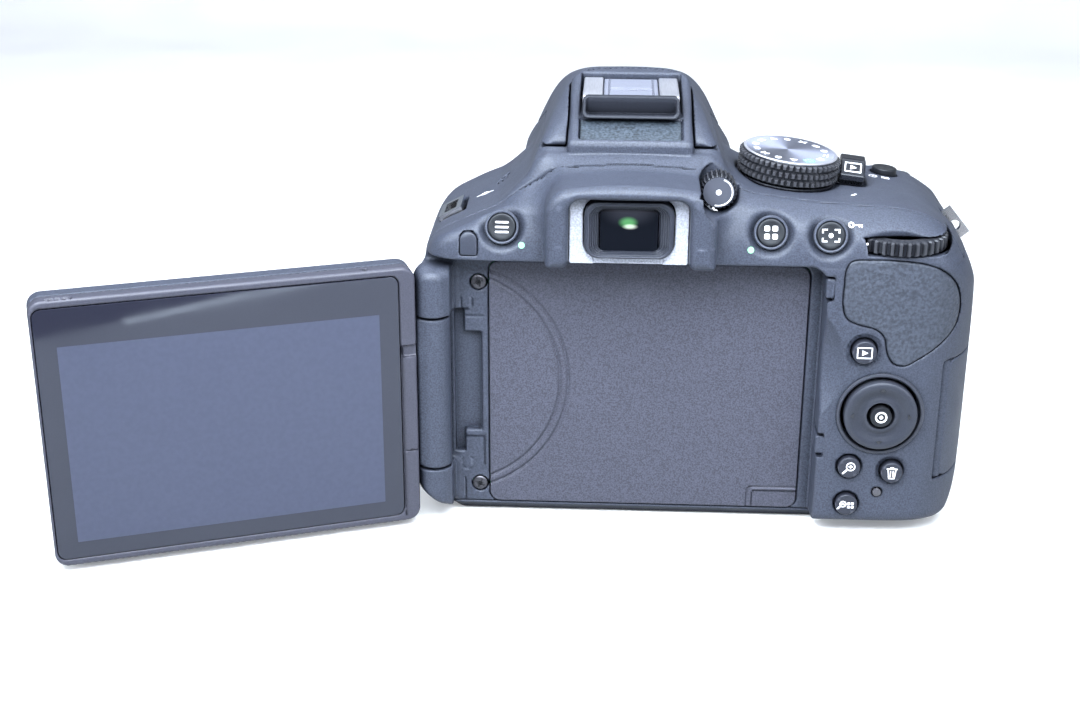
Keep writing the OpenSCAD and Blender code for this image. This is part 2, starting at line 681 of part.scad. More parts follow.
// ---- dials, lever and switch ----
module mode_dial() color("#8a8d96") on_dial() union() {
  translate([0, 0, 1.05]) toothed_disc(dial_r, dial_teeth, 0.5, 4.75);
  post([0, 0, 5.6], 0.6, dial_r - 0.9);
  post([0, 0, -3], 5, 2.4);
}
module live_view_lever() color("#222327") on_dial() difference() {
  union() {
    post([0, 0, 0.2], 0.65, 10.9);
    rotate([0, 0, lever_angle]) translate([9.4, -3.0, 0.2]) cube([7.4, 6.6, 0.65]);
    rotate([0, 0, lever_angle]) along_x(10.95, 16.9)
      polygon([[-3.0,0.2],[-3.6,2.6],[-6.0,3.1],[-5.7,4.4],[-2.6,7.0],[3.6,7.0],[3.6,0.2]]);
  }
  post([0, 0, -1], 5, 2.6);
}
module command_dial() color("#232428") translate(wheel_place + [0, 0, 0.35]) difference() {
  toothed_disc(wheel_r, wheel_ribs, 0.45, 3.7);
  post([0, 0, -1], 6, 7.5);
}
module diopter_dial() color("#232428")
  rear_face(diopter_place) translate([0, 0, -2]) union() {
    toothed_disc(4.2, 24, 0.35, 5.6);
    translate([0, 0, 5.6]) cylinder(h = 0.4, r1 = 3.9, r2 = 3.5);
  }
module shutter_button() color("#8d9098") on_shutter() union() {
  post([0, 0, -3], 6.4, 4.2);
  translate([0, 0, 3.3]) cylinder(h = 0.6, r1 = 4.2, r2 = 3.4);
  post([0, 0, -4], 1.2, 2);
}
module power_switch() color("#1f2023") on_shutter() difference() {
  union() {
    post([0, 0, 0.2], 2.2, 7.9);
    rotate([0, 0, 62]) translate([5.6, -1.7, 1.0]) cube([4.2, 3.4, 1.7]);
  }
  post([0, 0, -1], 6, 4.4);
}

// ---- buttons ----
module info_button() color("#232428") button(info_spec);
module exposure_button() color("#232428") button(exposure_spec);
module movie_button() color("#b02a2a") button(movie_spec);
module menu_button() color("#1c1d20") button(menu_spec);
module quick_menu_button() color("#1c1d20") button(quick_spec);
module ae_lock_button() color("#1c1d20") button(ae_lock_spec);
module play_button() color("#1c1d20") button(play_spec);
module zoom_in_button() color("#1c1d20") button(zoom_in_spec);
module zoom_out_button() color("#1c1d20") button(zoom_out_spec);
module delete_button() color("#1c1d20") button(delete_spec);
module function_button() color("#222327") button(function_spec, crown = 0.3);
module lens_release_button() color("#222327") union() {
  button(release_spec, crown = 0.6);
  // lock pin through the mount ring
  on_axis(31.6) rotate([0, 0, 180]) post([lock_pin_r, 0, 0], 4.1, 1.4);
}
module flash_button() color("#222327")
  front_face(flash_button_place) translate([0, 0, -2.5]) union() {
    cylinder(h = 4.0, r = 2.6);
    translate([0, 0, 4]) cylinder(h = 0.4, r1 = 2.6, r2 = 2.1);
  }

module selector_gimbal() color("#45474c")
  rear_face(selector_place) translate([0, 0, -2.9]) difference() {
    cylinder(h = 1.0, r = 4.6);
    post([0, 0, -1], 3, 3.4);
  }
module multi_selector() color("#2a2b30") rear_face(selector_place) difference() {
  union() {
    post([0, 0, -1.4], 2.0, pad_r);
    translate([0, 0, 0.6]) cylinder(h = 0.7, r1 = pad_r, r2 = pad_r - 1.6);
  }
  post([0, 0, -3], 8, 2.95);
}
module ok_button() color("#1c1d20")
  rear_face(selector_place) translate([0, 0, -5.2]) union() {
    cylinder(h = 6.4, r = 2.4);
    translate([0, 0, 6.4]) cylinder(h = 0.4, r1 = 2.4, r2 = 2.0);
  }

// ---- flash ----
module flash_head() color("#313238") difference() {
  intersection() {
    hump_solid();
    along_x(-30, 30) polygon([[-17,85.22],[16,85.22],[34,78.22],[40,100],[-17,100]]);
  }
  // room for the centre block
  difference() {
    flash_drum(0.2);
    box([-40, -60, 60], [-13.8, 60, 120]);
    box([13.8, -60, 60], [40, 60, 120]);
  }
  // rounded toe behind the hinge axis
  difference() {
    box([-30, flash_axis_y - 8, flash_axis_z - 6], [30, flash_axis_y, flash_axis_z]);
    on_flash_axis(-31) cylinder(h = 62, r = 1.75);
  }
  // hollow for the lamp and its reflector
  intersection() {
    along_y(14.6, 29) offset(delta = -1.7) polygon(hump_rear_pts);
    along_x(-30, 30) offset(delta = -1.7) polygon(hump_side_pts);
    box([-16.4, 15.8, 80], [16.4, 30, 99]);
  }
}
module flash_window() color("#dfe3e6", 0.6) box([-14.6, 16.8, 85.4], [14.6, 26.6, 86.6]);

// ---- doors ----
module card_door() color("#2b2c31") union() {
  intersection() {
    door_skin(0, 60, 1.9);
    card_zone(0);
  }
  post(at_z(card_hinge, 13.6), 28.4, card_hinge_r);
  post(at_z(card_hinge, 12.5), 30.6, 0.8);
}
module battery_door() color("#26272a") difference() {
  union() {
    box(at_z(battery_hinge, 0), [69.9, 30.9, 2.4]);
    translate(battery_hinge) rotate([-90, 0, 0]) cylinder(h = 43.8, r = 1.2);
  }
  box([62.0, 4, -1], [69.0, 14, 1.4]);
}
module battery_latch() color("#1e1f22") difference() {
  box([65.0, 4.3, 0.15], [68.8, 13.7, 1.3]);
  for (k = [0 : 2]) box([65.8 + k * 0.9, 5, -1], [66.2 + k * 0.9, 13, 0.4]);
}
module terminal_cover() color("#202124") union() {
  intersection() {
    door_skin(16, 42, 1.6);
    box([-50, -14, 16], [-44, terminal_hinge.y, 58]);
  }
  post(at_z(terminal_hinge, 16), 42, 1.15);
}

rear_cover();
front_cover();
top_cover();
bottom_cover();
grip_rubber();
thumb_rest();
recess_panel();
eyepiece_plate();
eyepiece_frame();
eyepiece_lens();
hot_shoe();
shoe_cover();
lens_mount();
mount_contacts();
screws();
strap_lugs();
tripod_socket();
mirror_box();
main_mirror();
sub_mirror();
focusing_screen();
pentamirror();
shutter_unit();
image_sensor();
main_board();
battery();
lamp_windows();
hinge_barrel();
monitor_bezel();
monitor_back();
monitor_glass();
lcd_panel();
mode_dial();
live_view_lever();
command_dial();
shutter_button();
power_switch();
info_button();
exposure_button();
movie_button();
menu_button();
quick_menu_button();
ae_lock_button();
play_button();
zoom_in_button();
zoom_out_button();
delete_button();
selector_gimbal();
multi_selector();
ok_button();
diopter_dial();
lens_release_button();
flash_button();
function_button();
flash_head();
flash_window();
card_door();
battery_door();
battery_latch();
terminal_cover();
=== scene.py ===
"""A camera body with a hinged monitor, standing on a white table.

Lengths are in millimetres and become metres only where a mesh is made. The underside is at
z = 0 and +Z is up. The lens mount faces +Y, the monitor and its keys face -Y, and +X is to the
right as seen from the monitor side. X = 0 is the lens axis. The scene camera looks from -Y.

The moulded parts are signed distance fields (negative inside) turned into quads; the keys,
dials and printed signs are built directly.
"""
import json
import math
from functools import reduce

import bmesh
import bpy
import numpy as np
from mathutils import Matrix, Vector

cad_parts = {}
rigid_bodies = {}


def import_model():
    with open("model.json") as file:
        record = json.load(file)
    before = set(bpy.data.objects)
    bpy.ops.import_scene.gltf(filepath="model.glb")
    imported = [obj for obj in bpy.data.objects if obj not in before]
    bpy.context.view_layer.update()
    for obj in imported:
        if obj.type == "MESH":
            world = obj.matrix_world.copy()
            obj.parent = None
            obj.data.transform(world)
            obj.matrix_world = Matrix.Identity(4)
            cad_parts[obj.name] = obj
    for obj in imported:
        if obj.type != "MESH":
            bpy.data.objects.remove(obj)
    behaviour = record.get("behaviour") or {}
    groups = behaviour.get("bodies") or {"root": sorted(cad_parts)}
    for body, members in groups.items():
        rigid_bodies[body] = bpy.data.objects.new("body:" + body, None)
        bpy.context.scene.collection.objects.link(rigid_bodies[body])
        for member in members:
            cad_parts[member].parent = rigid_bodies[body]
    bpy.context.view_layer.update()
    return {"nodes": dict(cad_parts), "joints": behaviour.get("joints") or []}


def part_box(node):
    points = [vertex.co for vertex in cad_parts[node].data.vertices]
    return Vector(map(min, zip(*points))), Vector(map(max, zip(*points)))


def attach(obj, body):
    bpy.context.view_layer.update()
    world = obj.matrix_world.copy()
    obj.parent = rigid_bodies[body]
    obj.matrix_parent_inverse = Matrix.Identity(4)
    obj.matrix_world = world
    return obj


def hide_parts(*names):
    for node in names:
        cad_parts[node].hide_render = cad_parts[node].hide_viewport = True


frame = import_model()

MM = 0.001
JOINTS = {joint["name"]: joint for joint in frame["joints"]}
NODES = frame["nodes"]
F = np.float32

BACKWARD = (0, -1, 0)
FORWARD = (0, 1, 0)
UPWARD = (0, 0, 1)


def joint_place(name):
    return np.array(JOINTS[name]["pos_m"]) * 1000


def joint_axis(name):
    axis = np.array(JOINTS[name]["axis"], float)
    return axis / np.linalg.norm(axis)


# ---------------------------------------------------------------- distance fields
def both(*fields):
    """Sharp intersection."""
    return reduce(np.maximum, fields)


def either(*fields):
    """Sharp union."""
    return reduce(np.minimum, fields)


def cut(a, b):
    """a without b, sharp edge."""
    return np.maximum(a, -b)


def meet(a, b, r):
    """Intersection with edge radius r."""
    u = np.maximum(a + r, 0)
    v = np.maximum(b + r, 0)
    return np.minimum(-r, np.maximum(a, b)) + np.sqrt(u * u + v * v)


def join(a, b, r):
    """Union with fillet radius r."""
    u = np.maximum(r - a, 0)
    v = np.maximum(r - b, 0)
    return np.maximum(r, np.minimum(a, b)) - np.sqrt(u * u + v * v)


def carve(a, b, r):
    """a without b, edge radius r."""
    return meet(a, -b, r)


def between(v, low, high):
    return np.maximum(low - v, v - high)


def radius(*parts):
    return np.sqrt(sum(v * v for v in parts))


def rect(u, v, half_w, half_h, r):
    """Rounded rectangle about the origin."""
    qu, qv = abs(u) - (half_w - r), abs(v) - (half_h - r)
    outside = radius(np.maximum(qu, 0), np.maximum(qv, 0))
    return outside + np.minimum(np.maximum(qu, qv), 0) - r


def block(low, high, r=0.0):
    """Field of a rounded box between two corners."""
    centre = [(a + b) / 2 for a, b in zip(low, high)]
    half = [(b - a) / 2 - r for a, b in zip(low, high)]

    def field(x, y, z):
        q = [abs(v - c) - h for v, c, h in zip((x, y, z), centre, half)]
        outside = radius(*[np.maximum(v, 0) for v in q])
        return outside + np.minimum(both(*q), 0) - r
    return field


def rod(centre, axis, r, low, high, edge=0.0):
    """Field of a cylinder about an axis, from low to high along it."""
    def field(x, y, z):
        px, py, pz = x - centre[0], y - centre[1], z - centre[2]
        along = px * axis[0] + py * axis[1] + pz * axis[2]
        across = np.sqrt(np.maximum(px * px + py * py + pz * pz - along * along, 0)) - r
        return meet(across, np.maximum(along - high, low - along), edge)
    return field


def near(p, centre, reach):
    """Mask of the points within reach of a centre."""
    x, y, z = p
    squares = (x - centre[0]) ** 2 + (y - centre[1]) ** 2 + (z - centre[2]) ** 2
    return squares < reach * reach


def edit(d, p, mask, change):
    """Apply change(d, x, y, z) to the masked points only."""
    if mask.any():
        d[mask] = change(d[mask], *[v[mask] for v in p])
    return d


def carve_in(d, p, mask, r, shape):
    """Remove a shape from the masked points; r = None leaves the edge sharp."""
    if r is None:
        return edit(d, p, mask, lambda d, x, y, z: cut(d, shape(x, y, z)))
    return edit(d, p, mask, lambda d, x, y, z: carve(d, shape(x, y, z), r))


def spline(points, step):
    """Closed centripetal Catmull-Rom curve through the points."""
    points = np.array(points, float)
    count = len(points)
    out = []
    for i in range(count):
        p0, p1 = points[i - 1], points[i]
        p2, p3 = points[(i + 1) % count], points[(i + 2) % count]
        t0 = 0.0
        t1 = t0 + max(np.linalg.norm(p1 - p0), 1e-6) ** 0.5
        t2 = t1 + max(np.linalg.norm(p2 - p1), 1e-6) ** 0.5
        t3 = t2 + max(np.linalg.norm(p3 - p2), 1e-6) ** 0.5
        pieces = max(2, int(np.linalg.norm(p2 - p1) / step) + 1)
        t = np.linspace(t1, t2, pieces, endpoint=False)[:, None]

        def blend(a, b, ta, tb):
            return (tb - t) / (tb - ta) * a + (t - ta) / (tb - ta) * b
        a1, a2, a3 = blend(p0, p1, t0, t1), blend(p1, p2, t1, t2), blend(p2, p3, t2, t3)
        out.append(blend(blend(a1, a2, t0, t2), blend(a2, a3, t1, t3), t1, t2))
    return np.concatenate(out)


class Outline:
    """Signed distance to a closed outline, kept on a fine grid."""

    def __init__(self, points, smooth=True, pad=14.0, grid=0.5, step=0.8):
        points = spline(points, step) if smooth else np.array(points, float)
        self.grid = grid
        self.low = points.min(0) - pad
        self.size = np.ceil((points.max(0) + pad - self.low) / grid).astype(int) + 1
        axes = [self.low[k] + np.arange(self.size[k]) * grid for k in range(2)]
        u, v = [a.ravel() for a in np.meshgrid(*axes, indexing="ij")]
        best = np.full(u.size, 1e9)
        inside = np.zeros(u.size, bool)
        for (x0, y0), (x1, y1) in zip(points, np.roll(points, -1, 0)):
            dx, dy = x1 - x0, y1 - y0
            square = dx * dx + dy * dy
            if square < 1e-12:
                continue
            t = np.clip(((u - x0) * dx + (v - y0) * dy) / square, 0, 1)
            best = np.minimum(best, (u - x0 - t * dx) ** 2 + (v - y0 - t * dy) ** 2)
            if y0 != y1:
                left = u < (x1 - x0) * (v - y0) / (y1 - y0) + x0
                inside ^= ((y0 > v) != (y1 > v)) & left
        distance = np.sqrt(best)
        distance[inside] *= -1
        self.values = distance.reshape(self.size).astype(F)

    def __call__(self, u, v):
        a = (u - self.low[0]) / self.grid
        b = (v - self.low[1]) / self.grid
        ac = np.clip(a, 0, self.size[0] - 1.001)
        bc = np.clip(b, 0, self.size[1] - 1.001)
        i = ac.astype(np.int32)
        j = bc.astype(np.int32)
        fa, fb = ac - i, bc - j
        row = self.size[1]
        k = i * row + j
        g = self.values.ravel()
        d = ((g[k] * (1 - fa) + g[k + row] * fa) * (1 - fb)
             + (g[k + 1] * (1 - fa) + g[k + row + 1] * fa) * fb)
        return d + (abs(a - ac) + abs(b - bc)) * self.grid


# ---------------------------------------------------------------- fields to meshes
CELL_EDGES = [(0, 1), (2, 3), (4, 5), (6, 7), (0, 2), (1, 3),
              (4, 6), (5, 7), (0, 4), (1, 5), (2, 6), (3, 7)]
CORNERS = np.array([(0, 0, 0), (1, 0, 0), (0, 1, 0), (1, 1, 0),
                    (0, 0, 1), (1, 0, 1), (0, 1, 1), (1, 1, 1)])
BLOCK = 8             # cells along one side of a sampling block
BLOCKS_AT_ONCE = 512
POINTS_AT_ONCE = 400000
BLOCK_SLACK = 1.25    # margin for fields that are not true distances
PULLS = 2             # steps that pull the vertices onto the surface


def sample(field, points):
    out = np.empty(len(points), F)
    for i in range(0, len(points), POINTS_AT_ONCE):
        q = points[i:i + POINTS_AT_ONCE].astype(F)
        out[i:i + POINTS_AT_ONCE] = field(q[:, 0].copy(), q[:, 1].copy(), q[:, 2].copy())
    return out


def gradient(field, points, reach):
    """Mean and slope of the field from four samples round each point."""
    slope = np.zeros((len(points), 3))
    total = np.zeros(len(points))
    for corner in np.array([(1, -1, -1), (-1, -1, 1), (-1, 1, -1), (1, 1, 1)], float):
        value = sample(field, points + corner * reach)
        slope += value[:, None] * corner
        total += value
    return total / 4, slope / (4 * reach)


def surface(field, low, high, step):
    """Vertices, quads and normals of the zero surface."""
    low = np.array(low, float)
    cells = np.ceil((np.array(high, float) - low) / step).astype(int)
    blocks = (cells + BLOCK - 1) // BLOCK
    starts = np.stack(np.meshgrid(*[np.arange(k) for k in blocks], indexing="ij"), -1)
    starts = starts.reshape(-1, 3)
    d = sample(field, low + (starts * BLOCK + BLOCK / 2) * step)
    starts = starts[abs(d) < BLOCK * step * 0.8661 * BLOCK_SLACK + 0.3]
    offsets = np.stack(np.meshgrid(*[np.arange(BLOCK + 1)] * 3, indexing="ij"), -1)
    offsets = offsets.reshape(-1, 3)
    span = blocks * BLOCK + 4
    unit = np.eye(3, dtype=int)

    def key(cell):
        return ((cell[..., 0] + 1) * span[1] + cell[..., 1] + 1) * span[2] + cell[..., 2] + 1

    ids, points, quads = [], [], []
    for first in range(0, len(starts), BLOCKS_AT_ONCE):
        batch = starts[first:first + BLOCKS_AT_ONCE]
        grid = batch[:, None, :] * BLOCK + offsets[None]
        values = sample(field, (low + grid * step).reshape(-1, 3))
        values = values.reshape(len(batch), BLOCK + 1, BLOCK + 1, BLOCK + 1)
        solid = values < 0
        count = sum(solid[:, a:a + BLOCK, b:b + BLOCK, c:c + BLOCK].astype(np.int8)
                    for a, b, c in CORNERS)
        active = np.argwhere((count > 0) & (count < 8))
        if not len(active):
            continue
        # one vertex per crossed cell, at the mean of its edge crossings
        cell = active[:, 1:]
        at_corner = np.stack([values[active[:, 0], cell[:, 0] + a, cell[:, 1] + b, cell[:, 2] + c]
                              for a, b, c in CORNERS], 1)
        total = np.zeros((len(active), 3))
        crossings = np.zeros(len(active))
        for a, b in CELL_EDGES:
            va, vb = at_corner[:, a], at_corner[:, b]
            m = (va < 0) != (vb < 0)
            t = np.where(m, va / np.where(m, va - vb, 1), 0)[:, None]
            total += np.where(m[:, None], CORNERS[a] + (CORNERS[b] - CORNERS[a]) * t, 0)
            crossings += m
        cell = batch[active[:, 0]] * BLOCK + cell
        ids.append(key(cell))
        points.append(low + (cell + total / crossings[:, None]) * step)
        # one quad round every crossed grid edge
        here = solid[:, :BLOCK, :BLOCK, :BLOCK]
        for axis in range(3):
            ahead = [slice(1, BLOCK + 1) if k == axis else slice(0, BLOCK) for k in range(3)]
            crossed = np.argwhere(here != solid[(slice(None), *ahead)])
            cell = batch[crossed[:, 0]] * BLOCK + crossed[:, 1:]
            inside = here[tuple(crossed.T)]
            side, other = unit[(axis + 1) % 3], unit[(axis + 2) % 3]
            quad = np.stack([key(cell - side - other), key(cell - other),
                             key(cell), key(cell - side)], 1)
            quad[~inside] = quad[~inside][:, ::-1]
            quads.append(quad)
    ids, points, quads = np.concatenate(ids), np.concatenate(points), np.concatenate(quads)
    order = np.argsort(ids)
    ids, points = ids[order], points[order]
    k = np.minimum(np.searchsorted(ids, quads), len(ids) - 1)
    quads = k[(ids[k] == quads).all(1)]
    for _ in range(PULLS):
        mean, slope = gradient(field, points, 0.25 * step)
        steep = np.maximum((slope * slope).sum(1), 0.2)
        pull = -(mean / steep)[:, None] * slope
        length = np.linalg.norm(pull, axis=1, keepdims=True)
        points = points + pull * np.minimum(1, 0.6 * step / np.maximum(length, 1e-9))
    _, slope = gradient(field, points, 0.3 * step)
    normals = slope / np.maximum(np.linalg.norm(slope, axis=1, keepdims=True), 1e-9)
    used = np.zeros(len(points), bool)
    used[quads.ravel()] = True
    renumber = np.cumsum(used) - 1
    return points[used], renumber[quads], normals[used]


def link_object(name, mesh, mat):
    ob = bpy.data.objects.new(name, mesh)
    bpy.context.scene.collection.objects.link(ob)
    mesh.materials.append(mat)
    return ob


def register(ob, body, slot=None, node=None):
    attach(ob, body)
    if node:
        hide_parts(node)


def field_piece(name, field, low, high, step, mat, body, slot=None, node=None):
    points, quads, normals = surface(field, low, high, step)
    mesh = bpy.data.meshes.new(name)
    mesh.vertices.add(len(points))
    mesh.vertices.foreach_set("co", (np.asarray(points, np.float32) * MM).ravel())
    mesh.loops.add(quads.size)
    mesh.loops.foreach_set("vertex_index", quads.astype(np.int32).ravel())
    mesh.polygons.add(len(quads))
    mesh.polygons.foreach_set("loop_start", np.arange(0, quads.size, 4, dtype=np.int32))
    mesh.update(calc_edges=True)
    mesh.polygons.foreach_set("use_smooth", np.full(len(mesh.polygons), True))
    mesh.update()
    mesh.validate()
    mesh.normals_split_custom_set_from_vertices(np.asarray(normals, float))
    register(link_object(name, mesh, mat), body, slot, node)


# ---------------------------------------------------------------- outlines
# body from above: x, y
PLAN = Outline([
    (-46, -10), (-45.6, -20), (-43.6, -26), (-39, -29.6), (-30, -30.9), (0, -31), (30, -31),
    (43, -31), (52, -31), (60, -30.8), (67, -29.4), (72.5, -25.4), (76.5, -18.6), (78.8, -8),
    (79.2, 4), (78.2, 16), (76, 26), (72, 33), (66, 36.9), (58, 38.1), (50.5, 36), (45, 31),
    (42, 24.5), (39.5, 18.5), (35, 15.2), (28, 14.2), (0, 14.2), (-28, 14.2), (-36, 14.0),
    (-42, 12), (-45.2, 7), (-46, 0)])
# body from the back: x, z
BACK_VIEW = Outline([
    (-36, -3), (-39.2, 0.6), (-43.4, 4.6), (-45.6, 9.5), (-46, 15), (-46, 22), (-46, 40),
    (-45.9, 56), (-45, 63.6), (-42, 67.8), (-36, 71), (-29, 74), (-22, 76.6), (-10, 78),
    (10, 78), (24, 78), (36, 77), (50, 76), (60, 74.9), (66, 72.8), (71, 69), (75, 64.3),
    (77.8, 58.5), (79.1, 50), (79.5, 34), (79.4, 18), (78.4, 9.5), (75.6, 4.0), (70.5, 0.5),
    (62, -3)])
# body from the side: y, z
SIDE_VIEW = Outline([
    (-18, -3), (-20.6, 0.3), (-22.6, 2.3), (-26.5, 3.1), (-30.0, 3.9), (-31, 5.4), (-31, 10),
    (-31, 30), (-31, 62), (-30.2, 67.2), (-27.2, 75.0), (-24.2, 79.4), (-20, 81.4),
    (-4, 81.6), (6, 81), (10.6, 79.2), (14, 75.4), (17.5, 71.9), (25, 67.9), (32.6, 64.2),
    (36.6, 60.4), (38.3, 55), (38.5, 48), (38.5, 30), (38.2, 7), (35.4, 1.6), (30, -3)])
# hump over the lens axis: x, z
HUMP_BACK = Outline([
    (-27, 50), (-26, 66), (-24.8, 75.6), (-22.3, 80.4), (-20.4, 84.6), (-18.4, 88.8),
    (-16.3, 92.2), (-13.6, 95.0), (-9.6, 96.9), (-3, 97.5), (4, 97.4), (9.2, 96.6),
    (12.8, 94.9), (15.6, 92.0), (17.8, 88.6), (19.9, 84.4), (21.9, 80.2), (24.6, 75.4),
    (26, 66), (27, 50)])
# the same hump: y, z
HUMP_SIDE = Outline([
    (-21.5, 50), (-21.5, 70), (-21.3, 80), (-20.6, 83.0), (-19.3, 84.9), (-17.4, 85.5),
    (-16.1, 86.7), (-15.1, 88.2), (-12.6, 90.0), (-8, 91.7), (0, 94.2), (8, 96.4),
    (14, 97.5), (20, 96.5), (26, 92.6), (30.6, 86.4), (32.4, 79), (32.6, 64), (32.4, 50)])
# thumb pad: x, z
PAD_VIEW = Outline([
    (47.6, 65.3), (46.6, 63.2), (46.5, 60), (46.5, 55.6), (47.6, 52.6), (50.4, 51.2),
    (54.0, 50.2), (56.0, 48.2), (56.8, 44.8), (58.2, 42.5), (60.6, 41.8), (64, 43.6),
    (70.2, 48.2), (72.0, 51), (72.3, 55.6), (70.4, 60.4), (66.2, 64.0), (60, 65.5),
    (52, 65.8)], pad=6, grid=0.2, step=0.4)
# block that carries the shoe: y, z
SHOE_BLOCK_SIDE = Outline([
    (-20, 76), (-20, 87.2), (-19.3, 88.15), (-10, 91.3), (0, 94.3), (8, 96.5), (12.4, 97.2),
    (15.5, 97.3), (15.5, 76)], smooth=False, pad=8, grid=0.25)
# seam under the flash head: y stations, z heights
HEAD_SEAM = ([-40, 16, 34, 60], [86.0, 86.0, 78.16, 78.16])

# ---------------------------------------------------------------- shared places
BACK_Y = -31
MOUNT_Z = 38.0                       # height of the lens axis
MOUNT_BORE, MOUNT_SEAT, MOUNT_SEAT_Y = 28, 30.15, 31.25
HINGE_X, HINGE_Y = -42.8, -25.9      # upright pin of the monitor hinge
CARD_HINGE = np.array([69.94, -25.16])
CARD_EDGE_DIR = np.array([0.795, 0.607])
CARD_Z = 27.8
CARD_GAP = 0.12
CARD_OPEN_ANGLE = 88
PORT_HINGE_X, PORT_HINGE_Y, PORT_Z = -44.7, 8.6, 37
SELECTOR = (56.3, BACK_Y, 30.5)
WHEEL = (58.5, -21, 68.6)
KNOB = (18.9, -24, 79.4)
INDICATOR = (57.1, BACK_Y, 11.3)
BACK_SCREW_X, BACK_SCREWS_Z = -32.9, (56.6, 7.2)
FOOT_SCREWS = ((-38, -12), (-38, 6), (38, -14), (62, -19.5))
FRONT_Y = 14.2
RELEASE_X, RELEASE_Z = -33.5, 32
FUNCTION_X, FUNCTION_Z = -38.2, 52
LAMP_X, LAMP_Z = 31.5, 58
FLASH_KEY_X, FLASH_KEY_Z = -27.5, 71
FLASH_Y, FLASH_Z = joint_place("flash_raise")[1:]
RUBBER_DEPTH, POCKET_DEPTH = 1.18, 1.32
LEVER_TURN = -4

# two strap lug pockets: centre, reach, lean in degrees, low, high, box edge, cut edge
LUG_POCKETS = (
    ((-39.6, -9, 70), 11, -28, (-3.1, -5.4, -3.8), (3.1, 5.4, 6), 0.9, 0.5),
    ((73.4, -3.5, 66.2), 9, 50, (-4.2, -2.3, -2.6), (4.2, 2.3, 4), 0.8, 0.4),
)


# ---------------------------------------------------------------- body skin
def hump_fields(x, y, z):
    back, side = HUMP_BACK(x, z), HUMP_SIDE(y, z)
    return back, side, meet(back, side, 2.6)


def add_mount_boss(d, x, y, z):
    cone = radius(x, z - MOUNT_Z) - (33.6 - (y - 8) * 0.1024)
    return join(d, both(meet(cone, y - 33.4, 1.0), 3 - y), 2.4)


def add_eyepiece_surround(d, x, y, z):
    e = meet(abs(x - 0.4) - 18.1, z - 83.1 + x * x * 0.0052, 4.6)
    e = meet(e, 64.7 - z, 1.1)
    e = both(meet(e, -38 - y, 2.5), y + 19)
    return join(d, e, 0.9 + 3.7 * np.clip((z - 66) / 8, 0, 1))


def body(x, y, z):
    """Outer skin of the body, and the hollow inside its walls."""
    p = x, y, z
    plan, side, back = PLAN(x, y), SIDE_VIEW(y, z), BACK_VIEW(x, z)
    # the edge softens towards the upper right corner at the back
    edge = (2.4 + 4.6 * np.clip((x - 24) / 18, 0, 1) * np.clip((z - 58) / 8, 0, 1)
            * np.clip((2 - y) / 10, 0, 1))
    main = meet(meet(plan, side, 2.0), back, edge)
    hump_back, hump_side, hump = hump_fields(x, y, z)
    d = join(main, hump, 5.0)
    d = edit(d, p, (y > 2) & (abs(x) < 42), add_mount_boss)
    d = edit(d, p, (y < -14) & (abs(x) < 30) & (z > 58), add_eyepiece_surround)
    hollow = both(plan + 2.6, side + 2.2, back + 2.2, 2.6 - z)
    hollow = both(hollow, either(-20.4 - y, 45.2 - x, 66.2 - z))
    in_hump = both(hump_back + 2.0, hump_side + 2.2, z - 83.2)
    hollow = either(hollow, both(in_hump, 55 - z))
    return d, both(hollow, d + 1.9)


def skin(x, y, z):
    return body(x, y, z)[0]


# ---------------------------------------------------------------- keys on the back
SLOPE_ANGLE = math.radians(19.3)     # lean of the band above the monitor
SLOPE = np.array([0, -math.cos(SLOPE_ANGLE), math.sin(SLOPE_ANGLE)])
# upper keys: origin of the key
UPPER_KEYS = {
    "menu": (-27.2, -28.62, 71.3),
    "quick_menu": (30.3, -28.66, 71.2),
    "ae_lock": (43, -28.8, 70.8),
}
UPPER_RADIUS, UPPER_RISE = 3.0, 0.15
# lower keys: well radius (0 for none), bore radius, key radius, key rise
LOWER_KEYS = {
    "play": (3.75, 2.9, 2.62, 0.85),
    "zoom_in": (0, 2.75, 2.5, 0.55),
    "zoom_out": (0, 2.75, 2.5, 0.55),
    "delete": (3.35, 2.7, 2.42, 0.55),
}


def key_centre(name):
    low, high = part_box(name + "_button")
    return (np.array(low) * 1000 + np.array(high) * 1000) / 2


KEY_CENTRES = {name: key_centre(name) for name in (*UPPER_KEYS, *LOWER_KEYS)}
KEY_NORMALS = {name: -joint_axis(name + "_press") for name in KEY_CENTRES}


def skin_point(centre, normal):
    """Where the axis of a key meets the skin."""
    for t in np.linspace(-6, 6, 241):
        x, y, z = [np.array([v]) for v in (centre + normal * t).astype(F)]
        if skin(x, y, z)[0] > 0:
            return centre + normal * t
    return centre


KEY_SKIN = {name: skin_point(KEY_CENTRES[name], KEY_NORMALS[name]) for name in KEY_CENTRES}


def key_well(d, p, name, well, depth, blend, bore, edge):
    """A soft well with a bore for a key in the middle."""
    centre, normal = KEY_SKIN[name], KEY_NORMALS[name]

    def sink(d, x, y, z):
        if well:
            dip = rod(centre, normal, well, -depth, 8, min(depth * 0.6, 0.8))
            d = carve(d, dip(x, y, z), blend)
        return carve(d, rod(centre, normal, bore, -9, 8)(x, y, z), edge)
    return edit(d, p, near(p, centre, well + 7 if well else bore + 5), sink)


# ---------------------------------------------------------------- features shared by shells
def cut_lugs(d, p):
    for centre, reach, lean, low, high, edge, blend in LUG_POCKETS:
        c, s = math.cos(math.radians(lean)), math.sin(math.radians(lean))

        def pocket(x, y, z):
            across, up = x - centre[0], z - centre[2]
            leaned = across * c - up * s, y - centre[1], across * s + up * c
            return block(low, high, edge)(*leaned)
        d = carve_in(d, p, near(p, centre, reach), blend, pocket)
    return d


